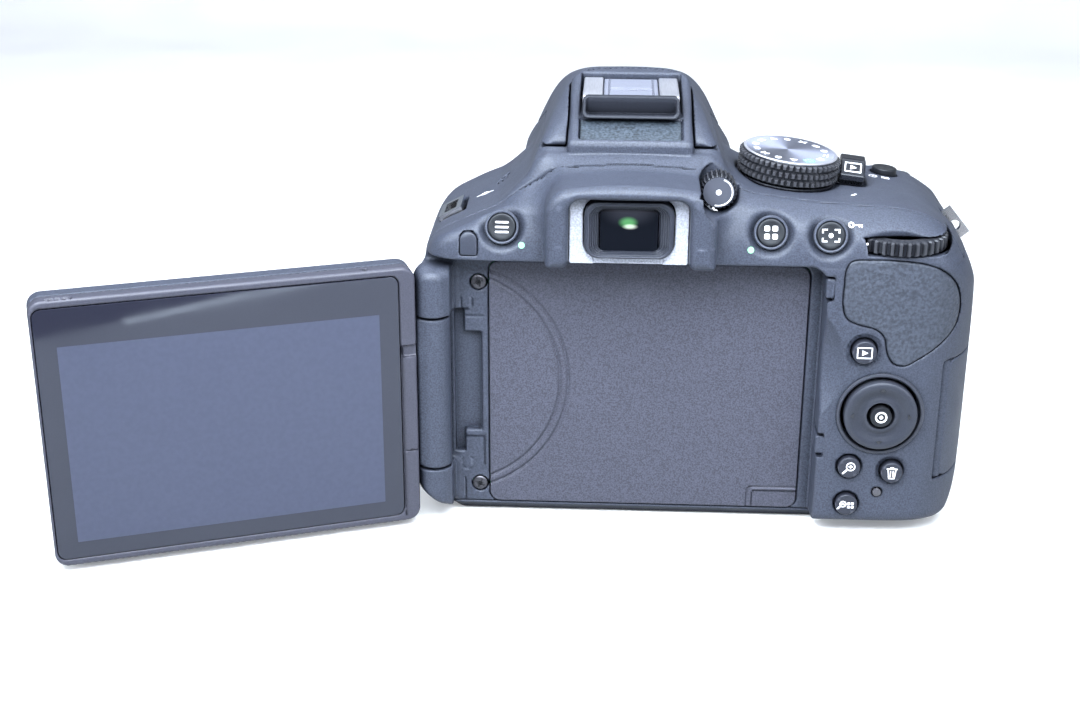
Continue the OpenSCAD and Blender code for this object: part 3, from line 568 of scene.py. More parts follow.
def cut_dial_seats(d, p, wheel_y, knob_y, knob_reach):
    """Slot for the command dial and seat for the diopter knob."""
    d = carve_in(d, p, near(p, (WHEEL[0], wheel_y, WHEEL[2]), 15), 0.35,
                 rod(WHEEL, UPWARD, 11.4, -1.85, 1.75, 0.3))
    return carve_in(d, p, near(p, (KNOB[0], knob_y, KNOB[2]), knob_reach), 0.6,
                    rod(KNOB, BACKWARD, 4.6, -4, 14, 0.3))


def card_zone(x, y, z, gap=0.0):
    """Zone of the card door, grown by a gap."""
    along = (x - CARD_HINGE[0]) * CARD_EDGE_DIR[0] + (y - CARD_HINGE[1]) * CARD_EDGE_DIR[1]
    zone = meet(-along - gap, y - 5 - gap, 1.6)
    return meet(zone, both(13.6 - gap - z, z - 42 - gap), 2.2)


def card_hinge_radius(x, y):
    return radius(x - CARD_HINGE[0], y - CARD_HINGE[1])


def hinge_radius(x, y):
    return radius(x - HINGE_X, y - HINGE_Y)


def pin_hole(x, y, z, r, half_height):
    """Upright pin of the port cover hinge."""
    return both(radius(x - PORT_HINGE_X, y - PORT_HINGE_Y) - r, abs(z - PORT_Z) - half_height)


def grip_zone(x, y, z, gap=0.0):
    """Zone of the grip leatherette, grown by a gap."""
    zone = meet(40.3 - gap - x + np.clip(y - 13, 0, 4) * 0.55, 9.5 - gap - y, 1.0)
    return meet(zone, both(8.0 - gap - z, z - (60.0 + gap)), 2.4)


def pocket(d, outside):
    """Sink the skin by the depth of a rubber inlay where outside is negative."""
    return both(d, either(meet(d, outside, 0.35), d + POCKET_DEPTH))


def inlay(outer, zone, edge):
    """Rubber inlay, slightly proud of the skin."""
    return both(meet(outer - 0.05, zone, edge), -RUBBER_DEPTH - outer)


def plug_outline(x, z):
    """Small plug left of the menu key: round above, square below."""
    u, w = x + 34.4, z - 67.6
    wide = abs(u) - 1.85
    return np.where(w > 0.6, meet(wide, w - 2.6, 1.8), meet(wide, -w - 2.4, 0.5))


def eyepiece_tube(top):
    return block((-9.7, -36, 65.9), (9.7, -10, top), 0.2)


def seam_edge(z):
    """Edge radius along the shell seams, tighter above z = 66."""
    return np.where(z > 66, 0.07, 0.22)


# ---------------------------------------------------------------- rear shell
def finger_scoop(d, x, y, z):
    ball = radius(x - 30.4, y + 48.0, z - 41.2) - 24.6
    rim = radius(radius(x - 30.4, z - 41.2) - 17.85, y + 31.1) - 0.3
    return carve(carve(d, ball, 0.1), rim, 0.08)


def dial_scoop(x, y, z):
    return meet(radius(x - 58.5, y + 50.9, z - 68.2) - 23.6, 70.3 - z, 0.15)


def latch_tab(z0, z1):
    hole = block((41, -30.4, z0 - 0.6), (44.5, -23.8, z1 + 0.6), 0.5)
    tab = block((42.65, -29.9, z0), (45, -24.5, z1), 0.45)
    return lambda d, x, y, z: either(carve(d, hole(x, y, z), 0.2), tab(x, y, z))


def panel_seat(x, y, z):
    return both(rect(x - 4.75, z - 32.3, 35.45, 29.5, 2.5), -22.75 - y)


def selector_well(d, x, y, z):
    d = carve(d, rod(SELECTOR, BACKWARD, 9.7, -0.55, 6, 0.2)(x, y, z), 0.3)
    return carve(d, rod(SELECTOR, BACKWARD, 8.6, -3.3, 6, 0.2)(x, y, z), 0.35)


def opened_card_door(x, y, z):
    """The card door swung open, with clearance."""
    c, s = math.cos(math.radians(CARD_OPEN_ANGLE)), math.sin(math.radians(CARD_OPEN_ANGLE))
    u, v = x - CARD_HINGE[0], y - CARD_HINGE[1]
    return card_cover(u * c - v * s + CARD_HINGE[0], u * s + v * c + CARD_HINGE[1], z) - 0.15


def knuckle(z0, z1, upper):
    """Hinge knuckle; the outer end is rounded, the end facing the barrel is flat."""
    round_top, round_foot = (2.6, 0.25) if upper else (0.25, 2.6)
    foot_wall, top_wall = (-0.5, 1.5) if upper else (1.5, -0.5)

    def add(d, x, y, z):
        k = meet(hinge_radius(x, y) - 4.15, z - z1, round_top)
        k = meet(k, z0 - z, round_foot)
        web = block((-45.6, -27.2, z0), (-38.3, -20.6, z1), 1.2)(x, y, z)
        k = join(k, both(web, between(z, z0, z1)), 1.6)
        if not upper:
            k = meet(k, (8.4 - (x + 46.5) * 0.72 - z) * 0.81, 1.6)
        bore = both(hinge_radius(x, y) - 1.55, z0 + foot_wall - z, z - z1 + top_wall)
        return cut(join(d, k, 1.4), bore)
    return add


def recess_groove(d, y, marks):
    """Fine grooves in the floor of the monitor recess."""
    return cut(d, both(marks, abs(y + 22.5) - 0.28))


def hinge_cavity(d, x, y, z):
    cavity = either(both(abs(x + 35.4) - 3.0, abs(z - 32.9) - 12.0),
                    both(abs(x + 37.3) - 1.1, abs(z - 32.85) - 17.4))
    d = carve(d, both(cavity, between(y, -26, -20.95)), 0.12)
    return recess_groove(d, y, either(
        both(abs(z - 48.5) - 0.09, between(x, -38.2, -31.6)),
        both(abs(z - 19.2) - 0.09, between(x, -37, -31.9)),
        both(abs(x + 31.9) - 0.09, between(z, 9.9, 19.2)),
        abs(rect(x + 35.7, z - 51.8, 1.25, 1.7, 1.2)) - 0.1))


def lower_marks(d, x, y, z):
    return recess_groove(d, y, either(
        abs(rect(x + 35.9, z - 12.6, 1.25, 1.7, 1.2)) - 0.1,
        both(abs(x + 36.4) - 0.09, between(z, 2.6, 8.6))))


def eyepiece_seat(d, x, y, z):
    seat = both(meet(abs(x) - 12.75, z - 80.0, 2.8), 60 - z)
    d = carve(d, meet(seat, y + 32.0, 0.1), 1.75)
    return cut(d, eyepiece_tube(78.6)(x, y, z))


def rear_shell(x, y, z):
    p = x, y, z
    d, hollow = body(x, y, z)
    d = edit(d, p, near(p, (44, -31, 41), 16), finger_scoop)
    d = carve_in(d, p, near(p, (58.5, -29, 72), 12), 0.3, dial_scoop)
    hollow = both(hollow, d + 1.5)
    # recess for the monitor, with latch tabs in its wall and a seat for its floor
    recess = meet(rect(x + 13.5, z - 22, 56.5, 42.0, 4.2), y + 22.5, 0.35)
    d = carve(d, recess, 0.55)
    for z0, z1 in ((56.9, 61.5), (20.2, 24.6)):
        d = edit(d, p, near(p, (43, -28, (z0 + z1) / 2), 7), latch_tab(z0, z1))
    d = carve_in(d, p, (y > -24) & (y < -19) & (x > -34) & (x < 44), None, panel_seat)
    for name in UPPER_KEYS:
        d = key_well(d, p, name, well=4.3, depth=1.35, blend=1.6, bore=3.3, edge=0.2)
    for name, (well, bore, _, _) in LOWER_KEYS.items():
        d = key_well(d, p, name, well, depth=0.35, blend=0.3, bore=bore, edge=0.3)
    d = edit(d, p, near(p, SELECTOR, 16), selector_well)
    d = carve_in(d, p, near(p, (SELECTOR[0], -28, SELECTOR[2]), 8), None,
                 rod(SELECTOR, BACKWARD, 3.2, -9, 0))
    d = cut_dial_seats(d, p, wheel_y=-25, knob_y=-24, knob_reach=14)
    thumb = (x > 42) & (x < 77) & (z > 38) & (z < 70) & (y < -10)
    d = edit(d, p, thumb, lambda d, x, y, z: pocket(d, 0.12 - PAD_VIEW(x, z)))
    # card door: its zone, its hinge and room for its edge when open
    d = carve_in(d, p, (x > 62) & (z > 10) & (z < 46), 0.3,
                 lambda x, y, z: card_zone(x, y, z, CARD_GAP))
    card_centre = (*CARD_HINGE, CARD_Z)
    d = carve_in(d, p, near(p, card_centre, 19), None, lambda x, y, z: both(
        card_hinge_radius(x, y) - 1.82, abs(z - CARD_Z) - 14.4))
    d = carve_in(d, p, near(p, card_centre, 16), None, opened_card_door)
    d = carve_in(d, p, near(p, INDICATOR, 4), 0.25, rod(INDICATOR, BACKWARD, 1.15, -2, 4))
    d = carve_in(d, p, near(p, (-34.3, -29.9, 67.6), 9), 0.12,
                 lambda x, y, z: both(plug_outline(x, z) - 0.13, y + 26.9))
    # monitor hinge: knuckles, then room for the closed monitor and the barrel
    d = edit(d, p, near(p, (HINGE_X, HINGE_Y, 56.0), 13), knuckle(50.4, 61.2, True))
    d = edit(d, p, near(p, (HINGE_X, HINGE_Y, 8.9), 13), knuckle(3.2, 13.6, False))
    for knuckle_z in (56.0, 8.9):
        d = carve_in(d, p, near(p, (-38, -26, knuckle_z), 10), None,
                     block((-38.8, -34, 1), (-31, -23.5, 63.5)))
    d = carve_in(d, p, near(p, (HINGE_X, HINGE_Y, 32), 24), None, lambda x, y, z: both(
        hinge_radius(x, y) - 4.25, abs(z - 32) - 18.35))
    left = (x < -30) & (y < -19)
    d = edit(d, p, left & (x > -42) & (z > 12) & (z < 53), hinge_cavity)
    d = edit(d, p, left & (x > -39) & (z > 2) & (z <= 14), lower_marks)
    for screw_z in BACK_SCREWS_Z:
        centre = (BACK_SCREW_X, -22.5, screw_z)
        d = carve_in(d, p, near(p, centre, 4), 0.2, rod(centre, BACKWARD, 1.9, -4, 2))
    d = edit(d, p, (y < -19) & (abs(x) < 22) & (z > 58), eyepiece_seat)
    d = cut_lugs(d, p)
    region = either(both(y + 8, z - 64, 2.82 - z), both(y + 21.53, 63.9 - z))
    d = meet(d, region, seam_edge(z))
    # side opening behind the port cover
    d = carve_in(d, p, (x < -40) & (y > -17) & (z > 12) & (z < 61), None,
                 lambda x, y, z: both(-14.2 - y, abs(z - PORT_Z) - 21.2, x + 42.2))
    return cut(d, hollow)


# ---------------------------------------------------------------- local frames
def turn_x(angle):
    c, s = math.cos(math.radians(angle)), math.sin(math.radians(angle))
    return np.array([[1, 0, 0], [0, c, -s], [0, s, c]])


def turn_y(angle):
    c, s = math.cos(math.radians(angle)), math.sin(math.radians(angle))
    return np.array([[c, 0, s], [0, 1, 0], [-s, 0, c]])


def turn_z(angle):
    c, s = math.cos(math.radians(angle)), math.sin(math.radians(angle))
    return np.array([[c, -s, 0], [s, c, 0], [0, 0, 1]])


class Frame:
    """Local frame: an origin and three unit axes as columns."""

    def __init__(self, origin, axes):
        self.origin = np.array(origin, float)
        self.axes = np.array(axes, float)

    def out(self, points):
        return np.asarray(points, float) @ self.axes.T + self.origin

    def local(self, x, y, z):
        u, v, w = x - self.origin[0], y - self.origin[1], z - self.origin[2]
        a = self.axes
        return tuple(u * a[0, k] + v * a[1, k] + w * a[2, k] for k in range(3))

    def at(self, x, y, z=0.0, turn=0.0):
        return Frame(self.out([x, y, z]), self.axes @ turn_z(turn))


def facing(origin, normal, turn=0.0):
    """Frame whose third axis is the normal."""
    n = np.array(normal, float)
    n /= np.linalg.norm(n)
    u = np.cross([0, 0, 1.0] if abs(n[2]) < 0.9 else [0, 1.0, 0], n)
    u /= np.linalg.norm(u)
    return Frame(origin, np.stack([u, np.cross(n, u), n], 1) @ turn_z(turn))


def forward(x, y, z):
    """Frame whose third axis points to the front."""
    return Frame((x, y, z), turn_x(-90))


MONITOR = Frame(joint_place("monitor_swing"), turn_z(200) @ turn_x(-90))
DIAL = Frame(joint_place("mode_dial_turn"), turn_x(2) @ turn_y(6))
LEVER = DIAL.at(0, 0, 0, LEVER_TURN)
SHUTTER = Frame((60.5, 25, 67.7), turn_x(-24))
INFO = Frame((59.0, 7.6, 75.5), turn_y(6))
EXPOSURE = Frame((50.4, 20.8, 69.9), turn_x(-26))
MOVIE = Frame((44.8, 17.2, 71.7), turn_x(-30))


# ---------------------------------------------------------------- top shell and flash head
def tray_slope(y):
    """Height of the sloped tray behind the shoe."""
    return 87.35 + (y + 18.3) * 0.37


def shoe_block(x, y, z):
    d = meet(abs(x) - 13.6, y - 15.5, 9.0)
    d = meet(meet(d, -20.05 - y, 1.5), SHOE_BLOCK_SIDE(y, z), 1.4)
    d = meet(d, 81.4 - z + x * x * 0.006, 1.2)
    floor = np.where(y < -10.4, tray_slope(y), 91.25)
    return carve(d, both(meet(abs(x) - 11.3, -18.5 - y, 0.9), floor - z, y - 10.2), 0.3)


def microphone_holes(x, y, z):
    """A curved row of sixteen holes."""
    holes = []
    for k in range(16):
        a = (k - 7.5) / 7.5
        holes.append(radius(x - a * 10.0, y - (13.3 - 1.9 * abs(a) ** 2.6)) - 0.3)
    return both(either(*holes), 93 - z)


def dial_seat(d, a, b, c):
    """Seat of the mode dial and its lever, in the dial's frame."""
    q = radius(a, b)
    d = carve(d, both(q - 11.6, -c), 0.6)
    cos, sin = math.cos(math.radians(LEVER_TURN)), math.sin(math.radians(LEVER_TURN))
    turned = a * cos + b * sin, -a * sin + b * cos, c
    d = carve(d, both(block((6, -1.6, 0), (17.9, 11.8, 14), 0.8)(*turned), -c), 0.4)
    return cut(d, q - 2.6 + np.maximum(c - 30, 0))


def shutter_seat(d, a, b, c):
    q = radius(a, b)
    return carve(carve(d, both(q - 8.05, -c - 0.02), 0.5), q - 4.4, 0.15)


def round_seat(bore, well):
    """Well and bore of a small top key, in the key's frame."""
    def seat(d, a, b, c):
        q = radius(a, b)
        return carve(carve(d, meet(q - well, -0.2 - c, 0.3), 0.7), q - bore - 0.1, 0.2)
    return seat


TOP_SEATS = ((SHUTTER, shutter_seat), (INFO, round_seat(2.95, 4.2)),
             (EXPOSURE, round_seat(2.55, 3.8)), (MOVIE, round_seat(2.15, 3.2)))


def mount_hole_top(d, x, y, z):
    q = radius(x, z - MOUNT_Z)
    return cut(cut(d, both(q - MOUNT_BORE, y - 33.5)), both(q - MOUNT_SEAT, MOUNT_SEAT_Y - y))


def top_shell(x, y, z):
    p = x, y, z
    d, hollow = body(x, y, z)
    d = np.where(abs(x) < 27, meet(d, z - np.interp(y, *HEAD_SEAM), 0.25), d)
    d = join(cut(d, hollow), shoe_block(x, y, z), 0.35)
    d = cut(d, both(abs(x) - 11.4, SHOE_BLOCK_SIDE(y, z) + 2.0, z - 88.6, 80 - z))
    d = carve_in(d, p, near(p, (0, 11.6, 97), 14), None, microphone_holes)
    q = a, b, c = DIAL.local(x, y, z)
    d = edit(d, q, (abs(a) < 22) & (abs(b) < 16) & (c > -8), dial_seat)
    for place, seat in TOP_SEATS:
        q = a, b, c = place.local(x, y, z)
        d = edit(d, q, (abs(a) < 16) & (abs(b) < 16) & (abs(c) < 12), seat)
    d = cut_dial_seats(d, p, wheel_y=-20, knob_y=-21, knob_reach=12)
    d = carve_in(d, p, near(p, (FLASH_KEY_X, 13.5, FLASH_KEY_Z), 8), 0.3,
                 rod((FLASH_KEY_X, 12, FLASH_KEY_Z), FORWARD, 2.75, -6, 9))
    d = edit(d, p, (y > 14) & (z < 72), mount_hole_top)
    # room for the heel of the flash head, and the openings under it
    d = cut(d, both(radius(y - FLASH_Y, z - FLASH_Z) - 1.9, between(abs(x), 13.75, 27)))
    d = cut(d, block((-15.4, 16.3, 83.2), (15.4, 27.1, 87), 0.4)(x, y, z))
    d = cut(d, block((-15, -19.4, 60), (15, 22, 83), 0.2)(x, y, z))
    # three by two short slots left of the hump
    for k in range(3):
        for j in range(2):
            u, v = -29.6 + k * 0.95 + j * 0.35, -2.6 + k * 0.2 + j * 2.3
            d = carve_in(d, p, near(p, (u, v, 74), 5), None,
                         lambda x, y, z: both(rect(x - u, y - v, 0.22, 0.85, 0.2), 70 - z))
    d = cut(d, eyepiece_tube(79.1)(x, y, z))
    d = cut_lugs(d, p)
    region = both(64.06 - z, -21.48 - y)
    return meet(d, np.where(z > 82.5, np.minimum(region, -1.0), region), seam_edge(z))


def flash_head(x, y, z):
    hump_back, hump_side, hump = hump_fields(x, y, z)
    d = meet(hump, np.interp(y, *HEAD_SEAM) + 0.16 - z, 0.25)
    d = meet(d, -16.9 - y, 0.2)
    gap = meet(abs(x) - 13.95, y - 15.85, 9.2)
    d = carve(d, meet(gap, SHOE_BLOCK_SIDE(y, z) - 0.3, 1.4), 0.22)
    # heel rounded about the pivot
    u, v = y - FLASH_Y, z - FLASH_Z
    d = cut(d, both(u, v, 1.75 - radius(u, v)))
    return cut(d, both(hump_back + 1.7, hump_side + 1.7, abs(x) - 16.3, 15.9 - y, y - 29))


# ---------------------------------------------------------------- front and base shells
# round bores in the front: x, z, bore radius, well radius (0 for none)
FRONT_BORES = ((RELEASE_X, RELEASE_Z, 4.35, 5.4), (FUNCTION_X, FUNCTION_Z, 2.6, 3.5),
               (LAMP_X, LAMP_Z, 3.1, 0))


def front_shell(x, y, z):
    p = x, y, z
    d, hollow = body(x, y, z)
    d = meet(d, both(-7.88 - y, 2.82 - z, z - 63.88), 0.22)
    grip = grip_zone(x, y, z, 0.1)
    d = np.where(grip < 3, pocket(d, -grip), d)
    q = radius(x, z - MOUNT_Z)
    d = cut(d, both(q - MOUNT_BORE, -5 - y))
    d = carve(d, both(q - MOUNT_SEAT, MOUNT_SEAT_Y - y), 0.2)
    d = carve_in(d, p, (x > 60) & (z > 10) & (z < 46), 0.3,
                 lambda x, y, z: card_zone(x, y, z, CARD_GAP))
    d = cut(d, both(abs(x + 47) - 4.8, abs(y + 2.55) - 11.75, abs(z - PORT_Z) - 21.2))
    d = cut(d, pin_hole(x, y, z, 1.3, 21.3))
    for u, w, bore, well in FRONT_BORES:
        centre = (u, FRONT_Y, w)
        mask = near(p, (u, 14, w), 12)
        if well:
            d = carve_in(d, p, mask, 0.8, rod(centre, FORWARD, well, -0.6, 9, 0.3))
        d = carve_in(d, p, mask, 0.25, rod(centre, FORWARD, bore, -7, 9))
    return cut(cut_lugs(d, p), hollow)


def base_shell(x, y, z):
    d, hollow = body(x, y, z)
    d = meet(d, between(z, 0, 2.7), 0.35)
    d = cut(meet(d, either(-22.4 - y, 43.05 - x), 0.2), hollow)
    from_socket = radius(x, y)
    d = cut(d, from_socket - 6.1)
    d = carve(d, rect(x - 59.9, y - 9, 10.35, 22.25, 1.6), 0.25)
    for u, v in FOOT_SCREWS:
        q = radius(x - u, y - v)
        d = cut(d, either(q - 0.95, both(q - 1.85, z - 1.0)))
    # a ring round the socket, and shallow ribs beside it
    d = cut(d, both(abs(from_socket - 9.4) - 0.35, z - 0.35))
    ribs = both(abs((x + 60) % 2.4 - 1.2) - 0.55, rect(x + 2, y, 26, 11.5, 2))
    return cut(d, both(ribs, 12.4 - from_socket, z - 0.35))


# ---------------------------------------------------------------- inlays and eyepiece
def grip_skin(x, y, z):
    return inlay(skin(x, y, z), grip_zone(x, y, z), 0.5)


def thumb_pad(x, y, z):
    return both(inlay(skin(x, y, z), PAD_VIEW(x, z), 0.55), y + 14)


def port_plug(x, y, z):
    outer = skin(x, y, z)
    return both(meet(outer - 0.02, plug_outline(x, z), 0.3), -1.3 - outer)


def recess_floor(x, y, z):
    d = rect(x - 4.75, z - 32.3, 35.3, 29.35, 2.4)
    d = meet(d, between(y, -22.6, -22.02), 0.16)
    # two arcs about a point near the hinge
    q = radius(x + 40.7, z - 33.4)
    for arc in (28.0, 26.1):
        d = carve(d, radius(q - arc, y + 22.72) - 0.42, 0.12)
    # nested outlines in the lower right corner
    plate = rect(x - 35.2, z - 4.6, 6.5, 3.45, 1.0)
    d = carve(d, both(abs(plate) - 0.14, y + 22.2), 0.05)
    plate = rect(x - 35.2, z - 4.2, 5.3, 2.9, 0.8)
    return carve(d, both(abs(plate) - 0.1, y + 22.3), 0.04)


def eye_plate(x, y, z):
    d = meet(meet(abs(x) - 12.62, z - 79.85, 2.7), 64.95 - z, 0.5)
    d = meet(d, between(y, -33.15, -32.06), 0.25)
    d = carve(d, rect(x, z - 72.95, 9.7, 6.5, 3.3), 0.35)
    # sill under the window
    return carve(d, both(rect(x, z - 65.9, 7.6, 1.0, 0.9), y + 32.7), 0.15)


# ridges down to the glass: half width, half height, corner radius, y of the step
EYE_STEPS = ((8.35, 5.45, 2.5, -34.7), (7.9, 5.2, 2.25, -34.2), (7.45, 4.98, 2.0, -33.7),
             (7.0, 4.76, 1.8, -33.2), (6.6, 4.56, 1.5, -32.7))


def eye_frame(x, y, z):
    d = meet(rect(x, z - 73.0, 9.45, 6.25, 3.2), between(y, -35.3, -31.9), 0.5)
    d = either(d, both(rect(x, z - 72, 8.7, 5.7, 0.4), between(y, -32.1, -19.7)))
    hole = rect(x, z - 72.35, 6.25, 4.4, 1.2)
    for k, (half_w, half_h, r, step_y) in enumerate(EYE_STEPS):
        ridge = rect(x, z - 72.8 + k * 0.07, half_w, half_h, r)
        hole = either(hole, both(ridge, y - step_y))
    return carve(d, hole, 0.09)


# ---------------------------------------------------------------- monitor
# In the monitor's frame a runs away from the hinge, b across, c out of the glass.
SHAFT_C = 0.9                        # depth of the tilting shaft behind c = 0
GLASS_A = 46.4                       # centre of the glass along a
PANEL_B = 2.3                        # centre of the active area along b


def monitor_half(a, b, c, low, high, low_edge, high_edge):
    d = rect(a - 44.85, b, 40.45, 30.5, 3.0)
    d = meet(meet(d, c - high, high_edge), low - c, low_edge)
    return d


def shaft_hole(a, b, c):
    return both(radius(b, c + SHAFT_C) - 2.06, a - 10.7)


def bezel_shell(x, y, z):
    a, b, c = MONITOR.local(x, y, z)
    d = monitor_half(a, b, c, -0.3, 3.1, 0.25, 0.75)
    d = carve(d, both(rect(a - GLASS_A, b, 38.3, 28.8, 2.0), 2.0 - c), 0.2)
    d = cut(d, both(abs(a - GLASS_A) - 35.3, abs(b - PANEL_B) - 24, abs(c) - 6))
    d = cut(d, shaft_hole(a, b, c))
    # strip beside the hinge: a notch and two grooves
    d = carve(d, both(between(a, 1.4, 7.55), abs(b + 11.1) - 1.35, 2.45 - c), 0.15)
    d = carve(d, both(abs(a - 7.75) - 0.13, abs(b - 9.5) - 19.6, 2.6 - c), 0.05)
    d = carve(d, both(abs(b - 13.0) - 0.1, a - 7.7, 2.75 - c), 0.04)
    # slot and hole in the edge on the -b side
    d = carve(d, block((76.2, -33, 1.5), (81.7, -30.0, 2.3), 0.3)(a, b, c), 0.1)
    return carve(d, both(radius(a - 15.2, c - 1.6) - 0.55, b + 29.9), 0.1)


def monitor_shell(x, y, z):
    a, b, c = MONITOR.local(x, y, z)
    d = monitor_half(a, b, c, -4.9, -0.4, 1.3, 0.25)
    d = cut(d, both(abs(a - GLASS_A) - 35.5, abs(b) - 27.5, -3.3 - c))
    d = cut(d, shaft_hole(a, b, c))
    # sunk field on the outside, and a finger notch at the free end
    d = carve(d, both(rect(a - 45.3, b, 36.5, 27, 2.2), c + 4.62), 0.2)
    return carve(d, radius(a - 85, b * 0.45, c + 6.6) - 4.2, 0.4)


def hinge_shell(x, y, z):
    q = hinge_radius(x, y)
    d = meet(q - 3.85, between(z, 14.05, 49.85), 0.35)
    d = either(d, both(q - 1.5, between(z, 5.6, 56.6)))
    a, b, c = MONITOR.local(x, y, z)
    d = join(d, block((1.5, -17.5, -3.9), (4.2, 17.5, 2.0), 0.7)(a, b, c), 0.9)
    return either(d, both(radius(b, c + SHAFT_C) - 2.0, between(a, 4, 10.2)))


# ---------------------------------------------------------------- doors and shoe
def card_cover(x, y, z):
    outer = skin(x, y, z)
    d = both(meet(outer, card_zone(x, y, z), 0.35), -1.85 - outer)
    return either(d, both(card_hinge_radius(x, y) - 1.7, abs(z - CARD_Z) - 14.2, outer))


def port_cover(x, y, z):
    outer = skin(x, y, z)
    zone = meet(between(y, -14.0, PORT_HINGE_Y), between(z, 16.0, 58.0), 1.6)
    d = both(meet(outer, both(zone, x + 43.4), 0.4), -1.55 - outer)
    d = either(d, pin_hole(x, y, z, 1.15, 21))
    grooves = both(abs(abs(z - PORT_Z) - 16.5) - 0.3, abs(y + 3) - 8)
    return cut(d, both(grooves, -0.35 - outer))


def cell_cover(x, y, z):
    d = meet(rect(x - 60.45, y - 9, 9.45, 21.9, 1.5), between(z, 0, 2.4), 0.35)
    d = either(d, both(radius(x - 51, z - 1.2) - 1.2, abs(y - 9) - 21.9))
    d = carve(d, block((62.0, 4, -1), (69.0, 14, 1.4), 0.2)(x, y, z), 0.2)
    ribs = both(abs((y + 60) % 2.2 - 1.1) - 0.4, rect(x - 56.5, y - 9, 3.2, 16, 1))
    return cut(d, both(ribs, z - 0.3))


def shoe_rails(x, y, z):
    """Folded metal rails."""
    d = block((-10.65, -9.2, 91.32), (10.65, 9.9, 95.75), 0.35)(x, y, z)
    d = carve(d, both(abs(x) - 9.45, between(z, 92.42, 94.8)), 0.25)
    return carve(d, both(abs(x) - 6.3, 92.42 - z), 0.2)


def shoe_plate(x, y, z):
    d = either(block((-9.25, -9.9, 92.6), (9.25, 9.6, 94.5), 0.2)(x, y, z),
               block((-6.1, -9.9, 93.4), (6.1, 9.6, 95.45), 0.25)(x, y, z))
    # two grooves across the plate, then two along it
    for v in (-1.75, 0.15):
        d = carve(d, block((-4.7, v - 0.3, 95.0), (4.7, v + 0.3, 96), 0.1)(x, y, z), 0.05)
    for u in (-4.9, 4.9):
        d = carve(d, block((u - 0.12, -9, 95.25), (u + 0.12, 9, 96), 0.05)(x, y, z), 0.03)
    return d


def shoe_trough(x, y, z):
    """Finger trough at the rear of the shoe cover, narrowing upwards."""
    narrow = (z - 91.3) * 0.05
    d = rect(x, z - 93.65, 10.75 - narrow, 2.4, 1.3)
    d = meet(d, both(-12.2 - y + (z - 91.3) * 0.28, y + 9.1), 0.35)
    trough = meet(rect(x, z - 93.85, 9.9 - narrow, 1.75, 0.9), -20 - y, 0.2)
    return carve(d, both(trough, y + 10.4 + (z - 93.5) * 0.3), 0.55)


def tray_floor(x, y, z):
    floor = tray_slope(y)
    d = meet(abs(x) - 11.0, -18.25 - y, 0.7)
    d = meet(d, both(z - floor - 0.45, y + 10.5), 0.15)
    return both(d, floor - 0.3 - z)


# ---------------------------------------------------------------- materials
class Graph:
    """Adds shader nodes to a material; inputs that are sockets are linked."""

    def __init__(self, mat):
        self.tree = mat.node_tree
        self.shader = self.tree.nodes["Principled BSDF"]

    def coordinates(self):
        return self.tree.nodes["Texture Coordinate"].outputs["Object"]

    def source(self, name):
        """What feeds an input of the shader."""
        return self.shader.inputs[name].links[0].from_socket

    def feed(self, node, inputs):
        for key, value in inputs.items():
            if isinstance(value, bpy.types.NodeSocket):
                self.tree.links.new(value, node.inputs[key])
            else:
                node.inputs[key].default_value = value

    def add(self, kind, inputs, **settings):
        node = self.tree.nodes.new("ShaderNode" + kind)
        for key, value in settings.items():
            setattr(node, key, value)
        self.feed(node, inputs)
        return node

    def noise(self, vector, scale, detail, **more):
        inputs = {"Vector": vector, "Scale": scale, "Detail": detail, **more}
        return self.add("TexNoise", inputs).outputs["Fac"]

    def remap(self, value, span, to, **settings):
        inputs = {"Value": value, "From Min": span[0], "From Max": span[1],
                  "To Min": to[0], "To Max": to[1]}
        return self.add("MapRange", inputs, **settings).outputs["Result"]

    def multiply(self, a, b):
        """Product of two colours."""
        return self.add("Mix", {"Factor": 1.0, 6: a, 7: b},
                        data_type="RGBA", blend_type="MULTIPLY").outputs[2]

    def math(self, operation, *values):
        return self.add("Math", dict(enumerate(values)), operation=operation).outputs[0]

    def vector(self, operation, *values):
        return self.add("VectorMath", dict(enumerate(values)), operation=operation).outputs[0]


COOL = (0.84, 0.91, 1.0)             # tint of the highlights


